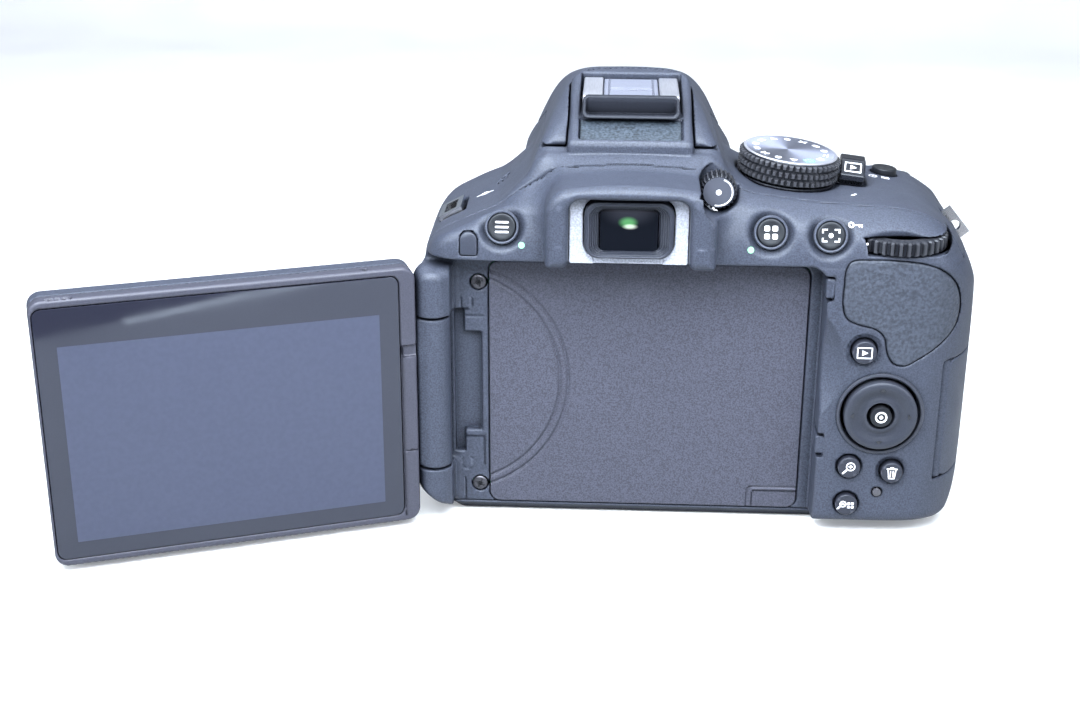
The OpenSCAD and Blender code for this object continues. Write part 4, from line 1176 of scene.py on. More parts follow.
def material(name, color, rough=0.5, metal=0.0, grain=2600, bump=0.25, depth=0.05,
             speck=0.04, speck_scale=3600, edge=0.0, coat=0.0, spec=0.5, smudge=0.06,
             smears=None, stretch=None, glow=None, tint=COOL, shade=0.0):
    """A procedural surface.

    grain, bump, depth: scale, strength and depth in mm of the fine relief
    speck, speck_scale: variation of the colour and its scale
    edge: how far convex edges turn lighter, partly wear and partly a painted highlight
    smudge: variation of the roughness; smears replaces its whole pattern
    stretch: scale of the grain along each axis
    glow: colour and strength of the emission
    shade: distance in mm over which corners are darkened, a painted shade
    """
    mat = bpy.data.materials.new(name)
    mat.use_nodes = True
    g = Graph(mat)
    co = g.add("TexCoord", {}).outputs["Object"]
    fine = co
    if stretch:
        fine = g.add("Mapping", {"Scale": stretch, "Vector": co}).outputs["Vector"]
    relief = g.add("Bump", {
        "Strength": bump, "Distance": depth * MM,
        "Height": g.noise(fine, grain, detail=2.0, Roughness=0.55)})
    smears = smears or dict(scale=70, detail=3.0, span=(0.3, 0.7),
                            to=(rough - smudge, rough + smudge))
    roughness = g.remap(g.noise(co, smears["scale"], smears["detail"]),
                        smears["span"], smears["to"])
    specks = g.remap(g.noise(fine, speck_scale, detail=1.0), (0.32, 0.68),
                     (1 - speck, 1 + speck))
    base = g.multiply((*color, 1), specks)
    if edge:
        # convex edges painted lighter: partly wear, partly a painted highlight
        convex = g.add("NewGeometry", {}).outputs["Pointiness"]
        wear_and_highlight = [min(1, v * 2.4 + 0.03) for v in color]
        base = g.add("Mix", {
            "Factor": g.remap(convex, (0.53, 0.62), (0.0, edge)), 6: base, 7: (*wear_and_highlight, 1),
        }, data_type="RGBA").outputs[2]
    g.shader.inputs["Specular IOR Level"].default_value = spec
    if shade:
        # painted shade: occlusion darkens the colour and shine in corners
        open_sky = g.add("AmbientOcclusion", {"Distance": shade * MM}, samples=4)
        dim = g.remap(open_sky.outputs["AO"], (0.25, 0.92), (0.25, 1.0))
        base = g.multiply(base, dim)
        g.feed(g.shader, {"Specular IOR Level": g.math("MULTIPLY", dim, spec)})
    g.feed(g.shader, {
        "Base Color": base, "Roughness": roughness, "Normal": relief.outputs["Normal"],
        "Metallic": metal, "IOR": 1.45, "Specular Tint": (*tint, 1),
        "Coat Weight": coat, "Coat Roughness": 0.04})
    if glow:
        g.feed(g.shader, {"Emission Color": (*glow[0], 1), "Emission Strength": glow[1]})
    return mat


def in_metres(values):
    return tuple(float(v) * MM for v in values)


def paint_disc_sheen(mat, centre, darkest, brightest, phase):
    """Painted sheen: brightness runs twice round a centre, as light does on a turned metal disc.
    """
    g = Graph(mat)
    base = g.source("Base Color")
    offset = g.vector("SUBTRACT", g.coordinates(), in_metres(centre))
    parts = g.add("SeparateXYZ", {0: offset}).outputs
    angle = g.math("ARCTAN2", parts["Y"], parts["X"])
    wave = g.math("COSINE", g.math("MULTIPLY_ADD", angle, 2.0, phase))
    bright = g.remap(wave, (-1, 1), (darkest, brightest), interpolation_type="SMOOTHSTEP")
    g.feed(g.shader, {"Base Color": g.multiply(base, bright)})


def paint_reflection(mat, centre, radii, color, power):
    """Painted reflection: a faint soft-edged patch of emission on the glass."""
    g = Graph(mat)
    offset = g.vector("SUBTRACT", g.coordinates(), in_metres(centre))
    scaled = g.vector("DIVIDE", offset, in_metres(radii))
    away = g.add("VectorMath", {0: scaled}, operation="LENGTH").outputs["Value"]
    fade = g.remap(away, (1.0, 0.25), (0, 1), interpolation_type="SMOOTHSTEP")
    light = g.add("VectorMath", {0: tuple(v * power for v in color), "Scale": fade},
                  operation="SCALE").outputs[0]
    glowing = g.shader.inputs["Emission Color"].links
    below = g.source("Emission Color") if glowing else (0, 0, 0)
    g.feed(g.shader, {"Emission Color": g.vector("ADD", light, below),
                      "Emission Strength": 1.0})


SHELL = dict(bump=0.5, depth=0.06, speck=0.30, speck_scale=3000, edge=0.22, shade=3.0)
SATIN_FINISH = dict(bump=0.3, depth=0.03, speck=0.15)
SMALL_PART = dict(depth=0.02, speck=0.06)
OPTICAL = dict(bump=0.01, depth=0.01)

PLASTIC = material("shell_plastic", color=(0.034, 0.040, 0.060), **SHELL)
TOP_PLASTIC = material("top_plastic", color=(0.036, 0.042, 0.062), rough=0.48, **SHELL)
FLOOR_GREY = material("floor_texture", color=(0.043, 0.046, 0.066), grain=3000, bump=0.9,
                      depth=0.08, speck=0.36, speck_scale=3200, edge=0.3, shade=3.0,
                      tint=(0.90, 0.92, 1.0))
TRAY_GREY = material("tray_texture", color=(0.030, 0.040, 0.054), rough=0.46, grain=1500,
                     bump=0.9, depth=0.12, speck=0.6, speck_scale=1700, shade=3.0)
LEATHER = material("leatherette", color=(0.034, 0.040, 0.056), rough=0.48, grain=1150, bump=1.0,
                   depth=0.26, speck=0.30, speck_scale=1500, shade=2.0)
SOFT = material("soft_black", color=(0.024, 0.028, 0.042), rough=0.42, depth=0.04, speck=0.15,
                edge=0.5, shade=2.0)
SATIN = material("satin_black", color=(0.021, 0.024, 0.035), rough=0.36, edge=0.7, shade=2.5,
                 **SATIN_FINISH)
BEZEL_GREY = material("bezel_grey", color=(0.040, 0.042, 0.060), rough=0.42, edge=0.3, shade=2.0,
                      tint=(0.92, 0.94, 1.0), **SATIN_FINISH)
TROUGH_BLACK = material("trough_black", color=(0.016, 0.018, 0.026), bump=0.2, depth=0.03,
                        speck=0.1, shade=3.0, spec=0.35)
KEY_BLACK = material("key_black", color=(0.008, 0.009, 0.012), rough=0.32, bump=0.12, edge=0.4,
                     spec=0.4, shade=1.5, **SMALL_PART)
KEY_GREY = material("key_grey", color=(0.019, 0.021, 0.031), rough=0.40, depth=0.03, speck=0.15,
                    edge=0.5, shade=1.5)
DIAL_BLACK = material("dial_black", color=(0.007, 0.008, 0.012), rough=0.26, bump=0.15, edge=0.9,
                      spec=0.42, shade=1.5, **SMALL_PART)
DIAL_TOP = material("dial_top", color=(0.155, 0.168, 0.220), rough=0.36, metal=0.35, grain=900,
                    depth=0.03, speck=0.08)
# painted sheen on the top of the mode dial
paint_disc_sheen(DIAL_TOP, joint_place("mode_dial_turn"), darkest=0.45, brightest=1.9, phase=1.2)
# light speckled grey: print colour on the dial signs; on the eyepiece plate its lightness is
# painted sheen, the light the plate catches
SPECKLED = material("speckled_grey", color=(0.46, 0.49, 0.58), grain=2200, bump=0.8, depth=0.09,
                    speck=0.22, speck_scale=2600, edge=0.3)
SHOE_GREY = material("shoe_grey", color=(0.21, 0.225, 0.29), rough=0.40, metal=0.3, grain=1200,
                     bump=0.3, depth=0.03, speck=0.10, shade=1.0)
RAIL = material("bright_rail", color=(0.60, 0.61, 0.68), rough=0.38, metal=0.85, grain=900,
                bump=0.2, depth=0.03, speck=0.06, stretch=(1, 0.08, 1))
STEEL = material("mount_steel", color=(0.62, 0.62, 0.65), rough=0.24, metal=1.0, grain=700,
                 bump=0.12, depth=0.02, speck=0.05)
SCREW_BLACK = material("screw_black", color=(0.055, 0.055, 0.065), rough=0.32, metal=0.7,
                       bump=0.2, depth=0.02, speck=0.1, edge=0.8)
GOLD = material("gold_contact", color=(0.80, 0.56, 0.22), rough=0.25, metal=1.0, bump=0.1,
                depth=0.02, speck=0.05)
INNER = material("inner_black", color=(0.018, 0.018, 0.020), rough=0.75, grain=1500, bump=0.4,
                 speck=0.15)
MIRROR = material("mirror_silver", color=(0.82, 0.84, 0.87), rough=0.04, metal=1.0, grain=300,
                  smudge=0.02, **OPTICAL)
EYE_GLASS = material("eye_glass", color=(0.004, 0.005, 0.008), rough=0.06, spec=0.14, grain=200,
                     smudge=0.03, **OPTICAL)
SENSOR = material("sensor_green", color=(0.05, 0.16, 0.15), rough=0.15, metal=0.3, coat=0.8,
                  bump=0.03, depth=0.01, speck=0.1)
BOARD = material("board_green", color=(0.02, 0.12, 0.06), rough=0.45, grain=400, bump=0.5,
                 depth=0.1, speck=0.3, speck_scale=500)
CELL_GREY = material("battery_grey", color=(0.06, 0.065, 0.075), rough=0.4, bump=0.2,
                     depth=0.03, speck=0.1, edge=0.3)
LAMP_LENS = material("lamp_lens", color=(0.05, 0.05, 0.06), rough=0.22, coat=0.6, bump=0.03,
                     depth=0.01)
FLASH_LENS = material("flash_lens", color=(0.75, 0.77, 0.78), rough=0.2, grain=600, bump=0.3,
                      depth=0.2, speck=0.05, stretch=(1, 0.02, 1))
RED = material("record_red", color=(0.55, 0.02, 0.02), rough=0.35, bump=0.1, **SMALL_PART)
WHITE = material("print_white", color=(0.78, 0.79, 0.84), bump=0.1, depth=0.01, speck=0.06)
# green print; its faint emission is a painted glow
GREEN = material("print_green", color=(0.22, 0.58, 0.33), rough=0.45, bump=0.1, depth=0.01,
                 speck=0.06, glow=((0.3, 0.8, 0.45), 0.06))
# near black for the screw crosses, a painted shade of their recesses
CROSS_SHADE = material("painted_cross_shade", color=(0.008, 0.008, 0.010), rough=0.7, bump=0.2, depth=0.02)
# painted reflections on the eyepiece glass: a green glint, a white glint under it, and a faint
# grey sheen over the upper part
paint_reflection(EYE_GLASS, centre=(-0.2, -31, 74.2), radii=(2.4, 40, 1.5), color=(0.16, 0.62, 0.20),
          power=0.75)
paint_reflection(EYE_GLASS, centre=(0.2, -31, 73.3), radii=(1.9, 40, 0.75), color=(0.9, 1.0, 0.9),
          power=0.9)
paint_reflection(EYE_GLASS, centre=(0, -31, 77.5), radii=(7.5, 40, 5.0), color=(0.10, 0.11, 0.15),
          power=0.40)
# front glass of the display, with soft fingerprints
GLASS = material("display_glass", color=(0.015, 0.016, 0.027), grain=60, bump=0.01, depth=0.02,
                 spec=0.78, tint=(0.84, 0.92, 1.0),
                 smears=dict(scale=55, detail=6, span=(0.45, 0.75), to=(0.045, 0.10)))
PANEL = material("display_panel", color=(0.038, 0.044, 0.075), rough=0.12, grain=90, bump=0.01,
                 depth=0.02, smudge=0.01, speck_scale=900, spec=0.55)


def bevel(ob, name):
    modifier = ob.modifiers.new(name, "BEVEL")
    modifier.width = 0.12 * MM
    modifier.segments = 2
    modifier.limit_method = "ANGLE"


# CAD pieces that stay, with their material
KEPT_PIECES = (
    (INNER, ("mirror_box",)), (MIRROR, ("main_mirror", "sub_mirror")),
    (FLASH_LENS, ("focusing_screen",)), (INNER, ("pentamirror",)), (SATIN, ("shutter_unit",)),
    (SENSOR, ("image_sensor",)), (BOARD, ("main_board",)), (CELL_GREY, ("battery",)),
    (FLASH_LENS, ("flash_window",)), (STEEL, ("tripod_socket", "strap_lugs", "lens_mount")),
    (GOLD, ("mount_contacts",)), (SATIN, ("selector_gimbal", "battery_latch")),
    (EYE_GLASS, ("eyepiece_lens",)),
)
for mat, names in KEPT_PIECES:
    for name in names:
        # a node may be held as an object or by its name
        ob = bpy.data.objects[NODES[name]] if isinstance(NODES[name], str) else NODES[name]
        ob.data.materials.clear()
        ob.data.materials.append(mat)
        bevel(ob, "soft_edges")

# ---------------------------------------------------------------- moulded parts
# name, field, low corner, high corner, cell size, material, body, slot, replaced CAD piece
MOULDED = (
    ("rear_shell", rear_shell, (-49, -40, 0), (82, -6.5, 86), 0.5,
     PLASTIC, "body", "body_plastic", "rear_cover"),
    ("top_shell", top_shell, (-47, -23, 61.5), (80, 40, 100.5), 0.5,
     TOP_PLASTIC, "body", "body_plastic", "top_cover"),
    ("front_shell", front_shell, (-48, -10, 1), (82, 41, 66), 0.62,
     PLASTIC, "body", "body_plastic", "front_cover"),
    ("base_shell", base_shell, (-48, -33, -1), (82, 41, 4.5), 0.55,
     PLASTIC, "body", "body_plastic", "bottom_cover"),
    ("head_shell", flash_head, (-28, -19, 76), (28, 36, 100), 0.5,
     TOP_PLASTIC, "flash", "body_plastic", "flash_head"),
    ("grip_skin", grip_skin, (34, 7, 6), (82, 41, 62), 0.5,
     LEATHER, "body", "grip_leatherette", "grip_rubber"),
    ("thumb_pad", thumb_pad, (45, -33, 40), (75, -12, 68), 0.36,
     LEATHER, "body", "grip_leatherette", "thumb_rest"),
    ("recess_floor", recess_floor, (-32, -23.5, 1.5), (42, -21, 63.5), 0.34,
     FLOOR_GREY, "body", "recess_texture", "recess_panel"),
    ("eye_plate", eye_plate, (-13.5, -34, 64), (13.5, -31, 81), 0.22,
     SPECKLED, "body", "speckled_grey", "eyepiece_plate"),
    ("eye_frame", eye_frame, (-10.5, -36.5, 64), (10.5, -18.5, 80.5), 0.24,
     SATIN, "body", "soft_black", "eyepiece_frame"),
    ("bezel_shell", bezel_shell, (-125, -58, 0), (-38, -22, 64), 0.5,
     BEZEL_GREY, "monitor", "soft_black", "monitor_bezel"),
    ("monitor_shell", monitor_shell, (-125, -58, 0), (-38, -18, 64), 0.55,
     PLASTIC, "monitor", "body_plastic", "monitor_back"),
    ("hinge_shell", hinge_shell, (-60, -36, 4), (-36, -18, 58), 0.42,
     PLASTIC, "monitor_arm", "soft_black", "hinge_barrel"),
    ("card_cover", card_cover, (64, -29, 12), (82, 7, 44), 0.45,
     PLASTIC, "card_lid", "body_plastic", "card_door"),
    ("port_cover", port_cover, (-48, -16, 14), (-41, 11, 60), 0.42,
     SOFT, "terminal_lid", "soft_black", "terminal_cover"),
    ("cell_cover", cell_cover, (49, -15, -1), (71, 32, 3.6), 0.4,
     SOFT, "battery_lid", "body_plastic", "battery_door"),
    ("shoe_rails", shoe_rails, (-11.5, -10.5, 90.5), (11.5, 11, 96.8), 0.24,
     RAIL, "body", "bright_metal", "hot_shoe"),
    ("shoe_plate", shoe_plate, (-10.5, -11, 91.5), (10.5, 11, 96.5), 0.2,
     SHOE_GREY, "shoe_slider", "bright_metal", "shoe_cover"),
    ("shoe_trough", shoe_trough, (-12, -13.5, 90.5), (12, -8, 97), 0.2,
     TROUGH_BLACK, "shoe_slider", "soft_black"),
    ("tray_floor", tray_floor, (-12, -19.5, 86), (12, -9.5, 92), 0.22,
     TRAY_GREY, "body", "speckled_grey"),
)
for row in MOULDED:
    field_piece(*row)


# ---------------------------------------------------------------- direct meshes
def round_rect(w, h, r, centre=(0, 0), steps=5):
    out = []
    for sx, sy, start in ((1, 1, 0), (-1, 1, 90), (-1, -1, 180), (1, -1, 270)):
        for k in range(steps + 1):
            t = math.radians(start + 90 * k / steps)
            out.append((centre[0] + sx * (w / 2 - r) + r * math.cos(t),
                        centre[1] + sy * (h / 2 - r) + r * math.sin(t)))
    return out


def circle(r, count):
    return [(r * math.cos(2 * math.pi * i / count), r * math.sin(2 * math.pi * i / count))
            for i in range(count)]


def band(count, a, b):
    """Quads between rows a and b of a grid of closed rows."""
    return [(a * count + i, a * count + (i + 1) % count,
             b * count + (i + 1) % count, b * count + i) for i in range(count)]


class Build:
    """Collects solids for one object; on() sets the frame and heights they use."""

    def __init__(self):
        self.points, self.faces = [], []

    def on(self, place, low=0.0, high=0.0):
        self.place, self.low, self.high = place, low, high
        return self

    def add(self, points, faces):
        first = len(self.points)
        self.points += [tuple(v) for v in self.place.out(points).tolist()]
        self.faces += [tuple(i + first for i in face) for face in faces]

    def prism(self, outline, chamfer=0.0):
        """Convex outline between the two heights."""
        flat = np.array(outline, float)
        ahead = np.roll(flat, -1, 0)
        if np.sum(flat[:, 0] * ahead[:, 1] - ahead[:, 0] * flat[:, 1]) < 0:
            flat = flat[::-1]
        n = len(flat)
        rows = [np.c_[flat, np.full(n, self.low)]]
        top = flat
        if chamfer:
            rows.append(np.c_[flat, np.full(n, self.high - chamfer)])
            centre = flat.mean(0)
            r = np.linalg.norm(flat - centre, axis=1, keepdims=True)
            shrink = np.maximum(1 - chamfer / np.maximum(r, 1e-6), 0.1)
            top = centre + (flat - centre) * shrink
        rows.append(np.c_[top, np.full(n, self.high)])
        faces = [tuple(range(n))[::-1]]
        for k in range(len(rows) - 1):
            faces += band(n, k, k + 1)
        faces.append(tuple(range((len(rows) - 1) * n, len(rows) * n)))
        self.add(np.concatenate(rows), faces)

    def lathe(self, profile, count=64):
        """Turned outline of (radius, height); ends on the axis become single points."""
        rows, points = [], []
        for r, z in profile:
            if r == 0:
                rows.append([len(points)])
                points.append((0, 0, z))
            else:
                rows.append(list(range(len(points), len(points) + count)))
                points += [(u, v, z) for u, v in circle(r, count)]
        faces = []
        size = len(profile)
        for k in range(size if profile[0][0] else size - 1):
            a, b = rows[k], rows[(k + 1) % size]
            for i in range(count):
                j = (i + 1) % count
                if len(a) == 1:
                    faces.append((a[0], b[j], b[i]))
                elif len(b) == 1:
                    faces.append((a[i], a[j], b[0]))
                else:
                    faces.append((a[i], a[j], b[j], b[i]))
        self.add(points, faces)

    def ring(self, r0, r1, count, start=0.0, end=360.0, centre=(0, 0)):
        full = end - start > 359.9
        k = count if full else max(3, int(count * (end - start) / 360) + 1)
        angles = np.radians(np.linspace(start, end, k, endpoint=not full))
        cos, sin = np.cos(angles), np.sin(angles)
        rows = [np.c_[centre[0] + r * cos, centre[1] + r * sin, np.full(k, z)]
                for r, z in ((r0, self.low), (r1, self.low), (r1, self.high), (r0, self.high))]
        faces = []
        for i in range(k if full else k - 1):
            j = (i + 1) % k
            for q in range(4):
                p = (q + 1) % 4
                faces.append((q * k + i, q * k + j, p * k + j, p * k + i))
        if not full:
            faces.append((0, k, 2 * k, 3 * k))
            faces.append((k - 1, 4 * k - 1, 3 * k - 1, 2 * k - 1))
        self.add(np.concatenate(rows), [face[::-1] for face in faces])

    def bar(self, start, end, width):
        p, q = np.array(start, float), np.array(end, float)
        d = (q - p) / max(np.linalg.norm(q - p), 1e-9)
        n = np.array([-d[1], d[0]]) * width / 2
        self.prism([p - n, q - n, q + n, p + n])

    def path(self, points, width):
        for a, b in zip(points, points[1:]):
            a, b = np.array(a, float), np.array(b, float)
            d = (b - a) / max(np.linalg.norm(b - a), 1e-9)
            self.bar(a - d * width * 0.35, b + d * width * 0.35, width)

    def box_line(self, half_w, half_h, width):
        """Outline of a rectangle about the origin."""
        w, h = half_w, half_h
        self.path([(-w, -h), (w, -h), (w, h), (-w, h), (-w, -h)], width)

    def strip(self, x0, y0, x1, y1):
        self.prism([(x0, y0), (x1, y0), (x1, y1), (x0, y1)])

    def disc(self, r):
        self.prism(circle(r, 24))

    def round_box(self, w, h, r, centre=(0, 0), steps=5, chamfer=0.0):
        self.prism(round_rect(w, h, r, centre, steps), chamfer)

    def obj(self, name, mat, smooth=False):
        mesh = bpy.data.meshes.new(name)
        mesh.from_pydata([tuple(c * MM for c in v) for v in self.points], [], self.faces)
        bm = bmesh.new()
        bm.from_mesh(mesh)
        bmesh.ops.recalc_face_normals(bm, faces=bm.faces)
        bm.to_mesh(mesh)
        bm.free()
        mesh.validate()
        ob = link_object(name, mesh, mat)
        if smooth:
            mesh.polygons.foreach_set("use_smooth", [True] * len(mesh.polygons))
            mesh.set_sharp_from_angle(angle=math.radians(32))
        return ob

    def finish(self, name, mat, body, slot=None, node=None, smooth=False):
        register(self.obj(name, mat, smooth), body, slot, node)


class Print(Build):
    """Thin marks that are laid on the skin."""

    def __init__(self):
        super().__init__()
        self.is_top = []

    def on(self, place):
        return super().on(place, -0.05, 0.05)

    def prism(self, outline):
        super().prism(outline)
        self.is_top += [False] * len(outline) + [True] * len(outline)

    def ring(self, r0, r1, count, centre=(0, 0)):
        def point(r, i):
            t = math.radians(360.0 * i / count)
            return centre[0] + r * math.cos(t), centre[1] + r * math.sin(t)
        for i in range(count):
            self.prism([point(r0, i), point(r1, i), point(r1, i + 1), point(r0, i + 1)])

    def drape(self, normal, lift=0.035, sink=-0.10):
        """Move every point along the normal to the skin, then lift tops and sink bottoms."""
        n = np.array(normal, float)
        points = np.array(self.points)
        for _ in range(12):
            d = skin(*[points[:, k].astype(F) for k in range(3)])
            points = points - n * (d[:, None] * 0.9)
        offset = np.where(np.array(self.is_top), lift, sink)[:, None]
        self.points = [tuple(v) for v in (points + n * offset)]
        return self


def round_key(name, node, body, place, r, rise, mat=KEY_BLACK, dish=0.12, slot=None,
              flange=True):
    """A small round key: soft edge, faint dish, and mostly a flange below the skin."""
    edge = 0.32
    if flange:
        profile = [(0, -2.85), (r + 0.45, -2.85), (r + 0.45, -2.05), (r, -2.0)]
    else:
        profile = [(0, -2.6), (r, -2.6)]
    profile.append((r, rise - edge))
    for k in range(1, 6):
        t = math.radians(18 * k)
        profile.append((r - edge + edge * math.cos(t), rise - edge + edge * math.sin(t)))
    profile += [(r * 0.72, rise - dish * 0.4), (r * 0.4, rise - dish * 0.9), (0, rise - dish)]
    build = Build().on(place)
    build.lathe(profile, 56)
    build.finish(name, mat, body, slot, node, smooth=True)


# ---------------------------------------------------------------- keys on the back
KEYS = {}
for name, origin in UPPER_KEYS.items():
    KEYS[name] = facing(origin, KEY_NORMALS[name])
    round_key(name + "_key", name + "_button", name + "_key", KEYS[name], UPPER_RADIUS,
              UPPER_RISE, slot="button_black")
for name, (_, _, r, rise) in LOWER_KEYS.items():
    centre = KEY_CENTRES[name]
    KEYS[name] = facing((centre[0], BACK_Y, centre[2]), KEY_NORMALS[name])
    round_key(name + "_key", name + "_button", name + "_key", KEYS[name], r, rise, KEY_GREY,
              slot="button_black")

collars = Build()
for name in UPPER_KEYS:
    collars.on(KEYS[name]).lathe([
        (3.08, -2.4), (3.66, -2.4), (3.72, -0.5), (3.66, -0.12), (3.45, 0.04), (3.2, 0.0),
        (3.08, -0.16)])
collars.finish("key_collars", PLASTIC, "body", smooth=True)


def three_lines(build):
    for v in (1.05, 0, -1.05):
        build.round_box(2.9, 0.42, 0.18, (0, v), 3)


def four_squares(build):
    for u in (-0.85, 0.85):
        for v in (-0.85, 0.85):
            build.round_box(1.15, 1.15, 0.25, (u, v), 3)


def focus_frame(build):
    for sx in (-1, 1):
        for sy in (-1, 1):
            build.bar((sx * 1.75, sy * 1.25), (sx * 0.75, sy * 1.25), 0.32)
            build.bar((sx * 1.75, sy * 1.4), (sx * 1.75, sy * 0.5), 0.32)
    build.disc(0.5)


def play_frame(build):
    build.box_line(1.55, 1.2, 0.26)
    build.prism([(-0.55, -0.62), (0.75, 0), (-0.55, 0.62)])


def magnifier(build, centre, r):
    u, v = centre
    build.ring(r - 0.26, r, 24, centre=centre)
    build.bar((u - r * 0.8, v - r * 0.8), (u - r * 1.65, v - r * 1.65), 0.4)
    build.bar((u - r * 0.45, v), (u + r * 0.45, v), 0.24)


def magnifier_plus(build):
    u, v, r = 0.3, 0.3, 1.05
    magnifier(build, (u, v), r)
    build.bar((u, v - r * 0.45), (u, v + r * 0.45), 0.24)


def magnifier_grid(build):
    magnifier(build, (-0.75, 0.2), 0.78)
    for u in (0.55, 1.35):
        for v in (-0.5, 0.35):
            build.round_box(0.6, 0.6, 0.1, (u, v), 2)


def bin_sign(build):
    build.path([(-0.85, 0.75), (-0.6, -1.35), (0.6, -1.35), (0.85, 0.75)], 0.26)
    build.bar((-1.2, 0.98), (1.2, 0.98), 0.26)
    build.bar((-0.4, 1.3), (0.4, 1.3), 0.26)
    for u in (-0.28, 0.28):
        build.bar((u, -0.95), (u, 0.5), 0.2)


# object, key, drawing, bottom and top of the sign
KEY_SIGNS = (
    ("menu_sign", "menu", three_lines, -0.05, 0.13),
    ("quick_sign", "quick_menu", four_squares, -0.05, 0.13),
    ("frame_sign", "ae_lock", focus_frame, -0.05, 0.13),
    ("play_sign", "play", play_frame, 0.6, 0.84),
    ("closer_sign", "zoom_in", magnifier_plus, 0.3, 0.54),
    ("wider_sign", "zoom_out", magnifier_grid, 0.3, 0.54),
    ("bin_sign", "delete", bin_sign, 0.3, 0.54),
)
for name, key, draw, low, high in KEY_SIGNS:
    sign = Build().on(KEYS[key], low, high)
    draw(sign)
    sign.finish(name, WHITE, key + "_key")

# ---------------------------------------------------------------- selector
SELECTOR_FRAME = facing(SELECTOR, BACKWARD)
dish = Build().on(SELECTOR_FRAME)
dish.lathe([
    (3.0, -1.35), (8.05, -1.35), (8.05, 0.55), (7.9, 0.95), (7.5, 1.22), (6.9, 1.28),
    (6.2, 1.12), (5.3, 0.62), (4.7, 0.42), (4.2, 0.5), (3.9, 0.72), (3.5, 0.8), (3.12, 0.74),
    (3.0, 0.5)], 96)
dish.finish("selector_dish", SATIN, "selector", "soft_black", "multi_selector", smooth=True)
arrows = Build()
for angle in (0, 90, 180, 270):
    arrows.on(SELECTOR_FRAME.at(0, 0, 0, angle), 0.85, 1.24)
    arrows.prism([(0.0, 6.72), (-0.6, 5.95), (0.6, 5.95)])
arrows.finish("selector_arrows", KEY_BLACK, "selector")
centre_key = Build().on(SELECTOR_FRAME)
centre_key.lathe([(0, -5.1), (2.35, -5.1), (2.35, 1.25), (2.28, 1.45), (2.0, 1.56),
                  (1.2, 1.53), (0, 1.5)], 56)
centre_key.finish("centre_key", KEY_BLACK, "ok_key", "button_black", "ok_button", smooth=True)
sign = Build().on(SELECTOR_FRAME, 1.4, 1.6)
sign.ring(0.95, 1.32, 32)
sign.disc(0.42)
sign.finish("centre_sign", WHITE, "ok_key")
rim = Build().on(SELECTOR_FRAME)
rim.lathe([(8.75, -1.2), (9.6, -1.2), (9.6, -0.35), (9.45, -0.12), (9.1, -0.02),
           (8.85, -0.12), (8.7, -0.4)], 96)
rim.finish("selector_ring", SATIN, "body", smooth=True)

# ---------------------------------------------------------------- windows, plug and screws
lenses = Build().on(facing(INDICATOR, BACKWARD))
lenses.lathe([(0, -1.5), (0.92, -1.5), (0.92, -0.35), (0.7, -0.2), (0, -0.1)], 32)
lenses.on(forward(LAMP_X, FRONT_Y, LAMP_Z))
lenses.lathe([(0, -3.3), (2.9, -3.3), (2.9, -0.1), (2.6, 0.15), (1.4, 0.35), (0, 0.42)], 48)
lenses.finish("lamp_lenses", LAMP_LENS, "body", "lamp", "lamp_windows", smooth=True)

field_piece("port_plug", port_plug, (-38, -33, 63.5), (-31, -25, 72), 0.2, SOFT, "body")

MOUNT_SCREW_CIRCLE = 26.3
screw_places = [facing((BACK_SCREW_X, -22.2, z), BACKWARD, turn)
                for z, turn in zip(BACK_SCREWS_Z, (20, 65))]
screw_places += [Frame((u, v, 0.62), turn_x(180)) for u, v in FOOT_SCREWS]
for angle in (45, 135, 225, 315):
    t = math.radians(angle)
    screw_places.append(forward(MOUNT_SCREW_CIRCLE * math.cos(t), 34.05,
                                MOUNT_Z - MOUNT_SCREW_CIRCLE * math.sin(t)))
# dark bars on the screw heads stand for their shaded cross recesses: painted shade
heads, crosses = Build(), Build()
for place in screw_places:
    heads.on(place).lathe([
        (0, -2.2), (0.8, -2.2), (0.8, -0.6), (1.62, -0.6), (1.66, 0.05), (1.5, 0.22),
        (1.1, 0.33), (0.62, 0.36), (0.5, 0.0), (0, -0.12)], 40)
    for turn in (0, 90):
        crosses.on(place.at(0, 0, 0, turn), 0.0, 0.375).strip(-1.12, -0.17, 1.12, 0.17)
heads.finish("screw_heads", SCREW_BLACK, "body", "screw_black", "screws", smooth=True)
crosses.finish("screw_crosses", CROSS_SHADE, "body")

# ---------------------------------------------------------------- mode dial
STUDS = 50
STUD_ROWS = ((1.1, 2.72), (2.8, 4.42), (4.5, 6.12))   # bottom and top of each row
STUD_ROOT, STUD_TIP = 10.5, 11.3
CUBE_FACES = [(3, 2, 1, 0), (4, 5, 6, 7), (0, 1, 5, 4), (1, 2, 6, 5), (2, 3, 7, 6), (3, 0, 4, 7)]


def stud_rectangle(r, angle, half_angle, low, high):
    return [(r * math.cos(t), r * math.sin(t), z) for t, z in (
        (angle - half_angle, low), (angle + half_angle, low),
        (angle + half_angle, high), (angle - half_angle, high))]


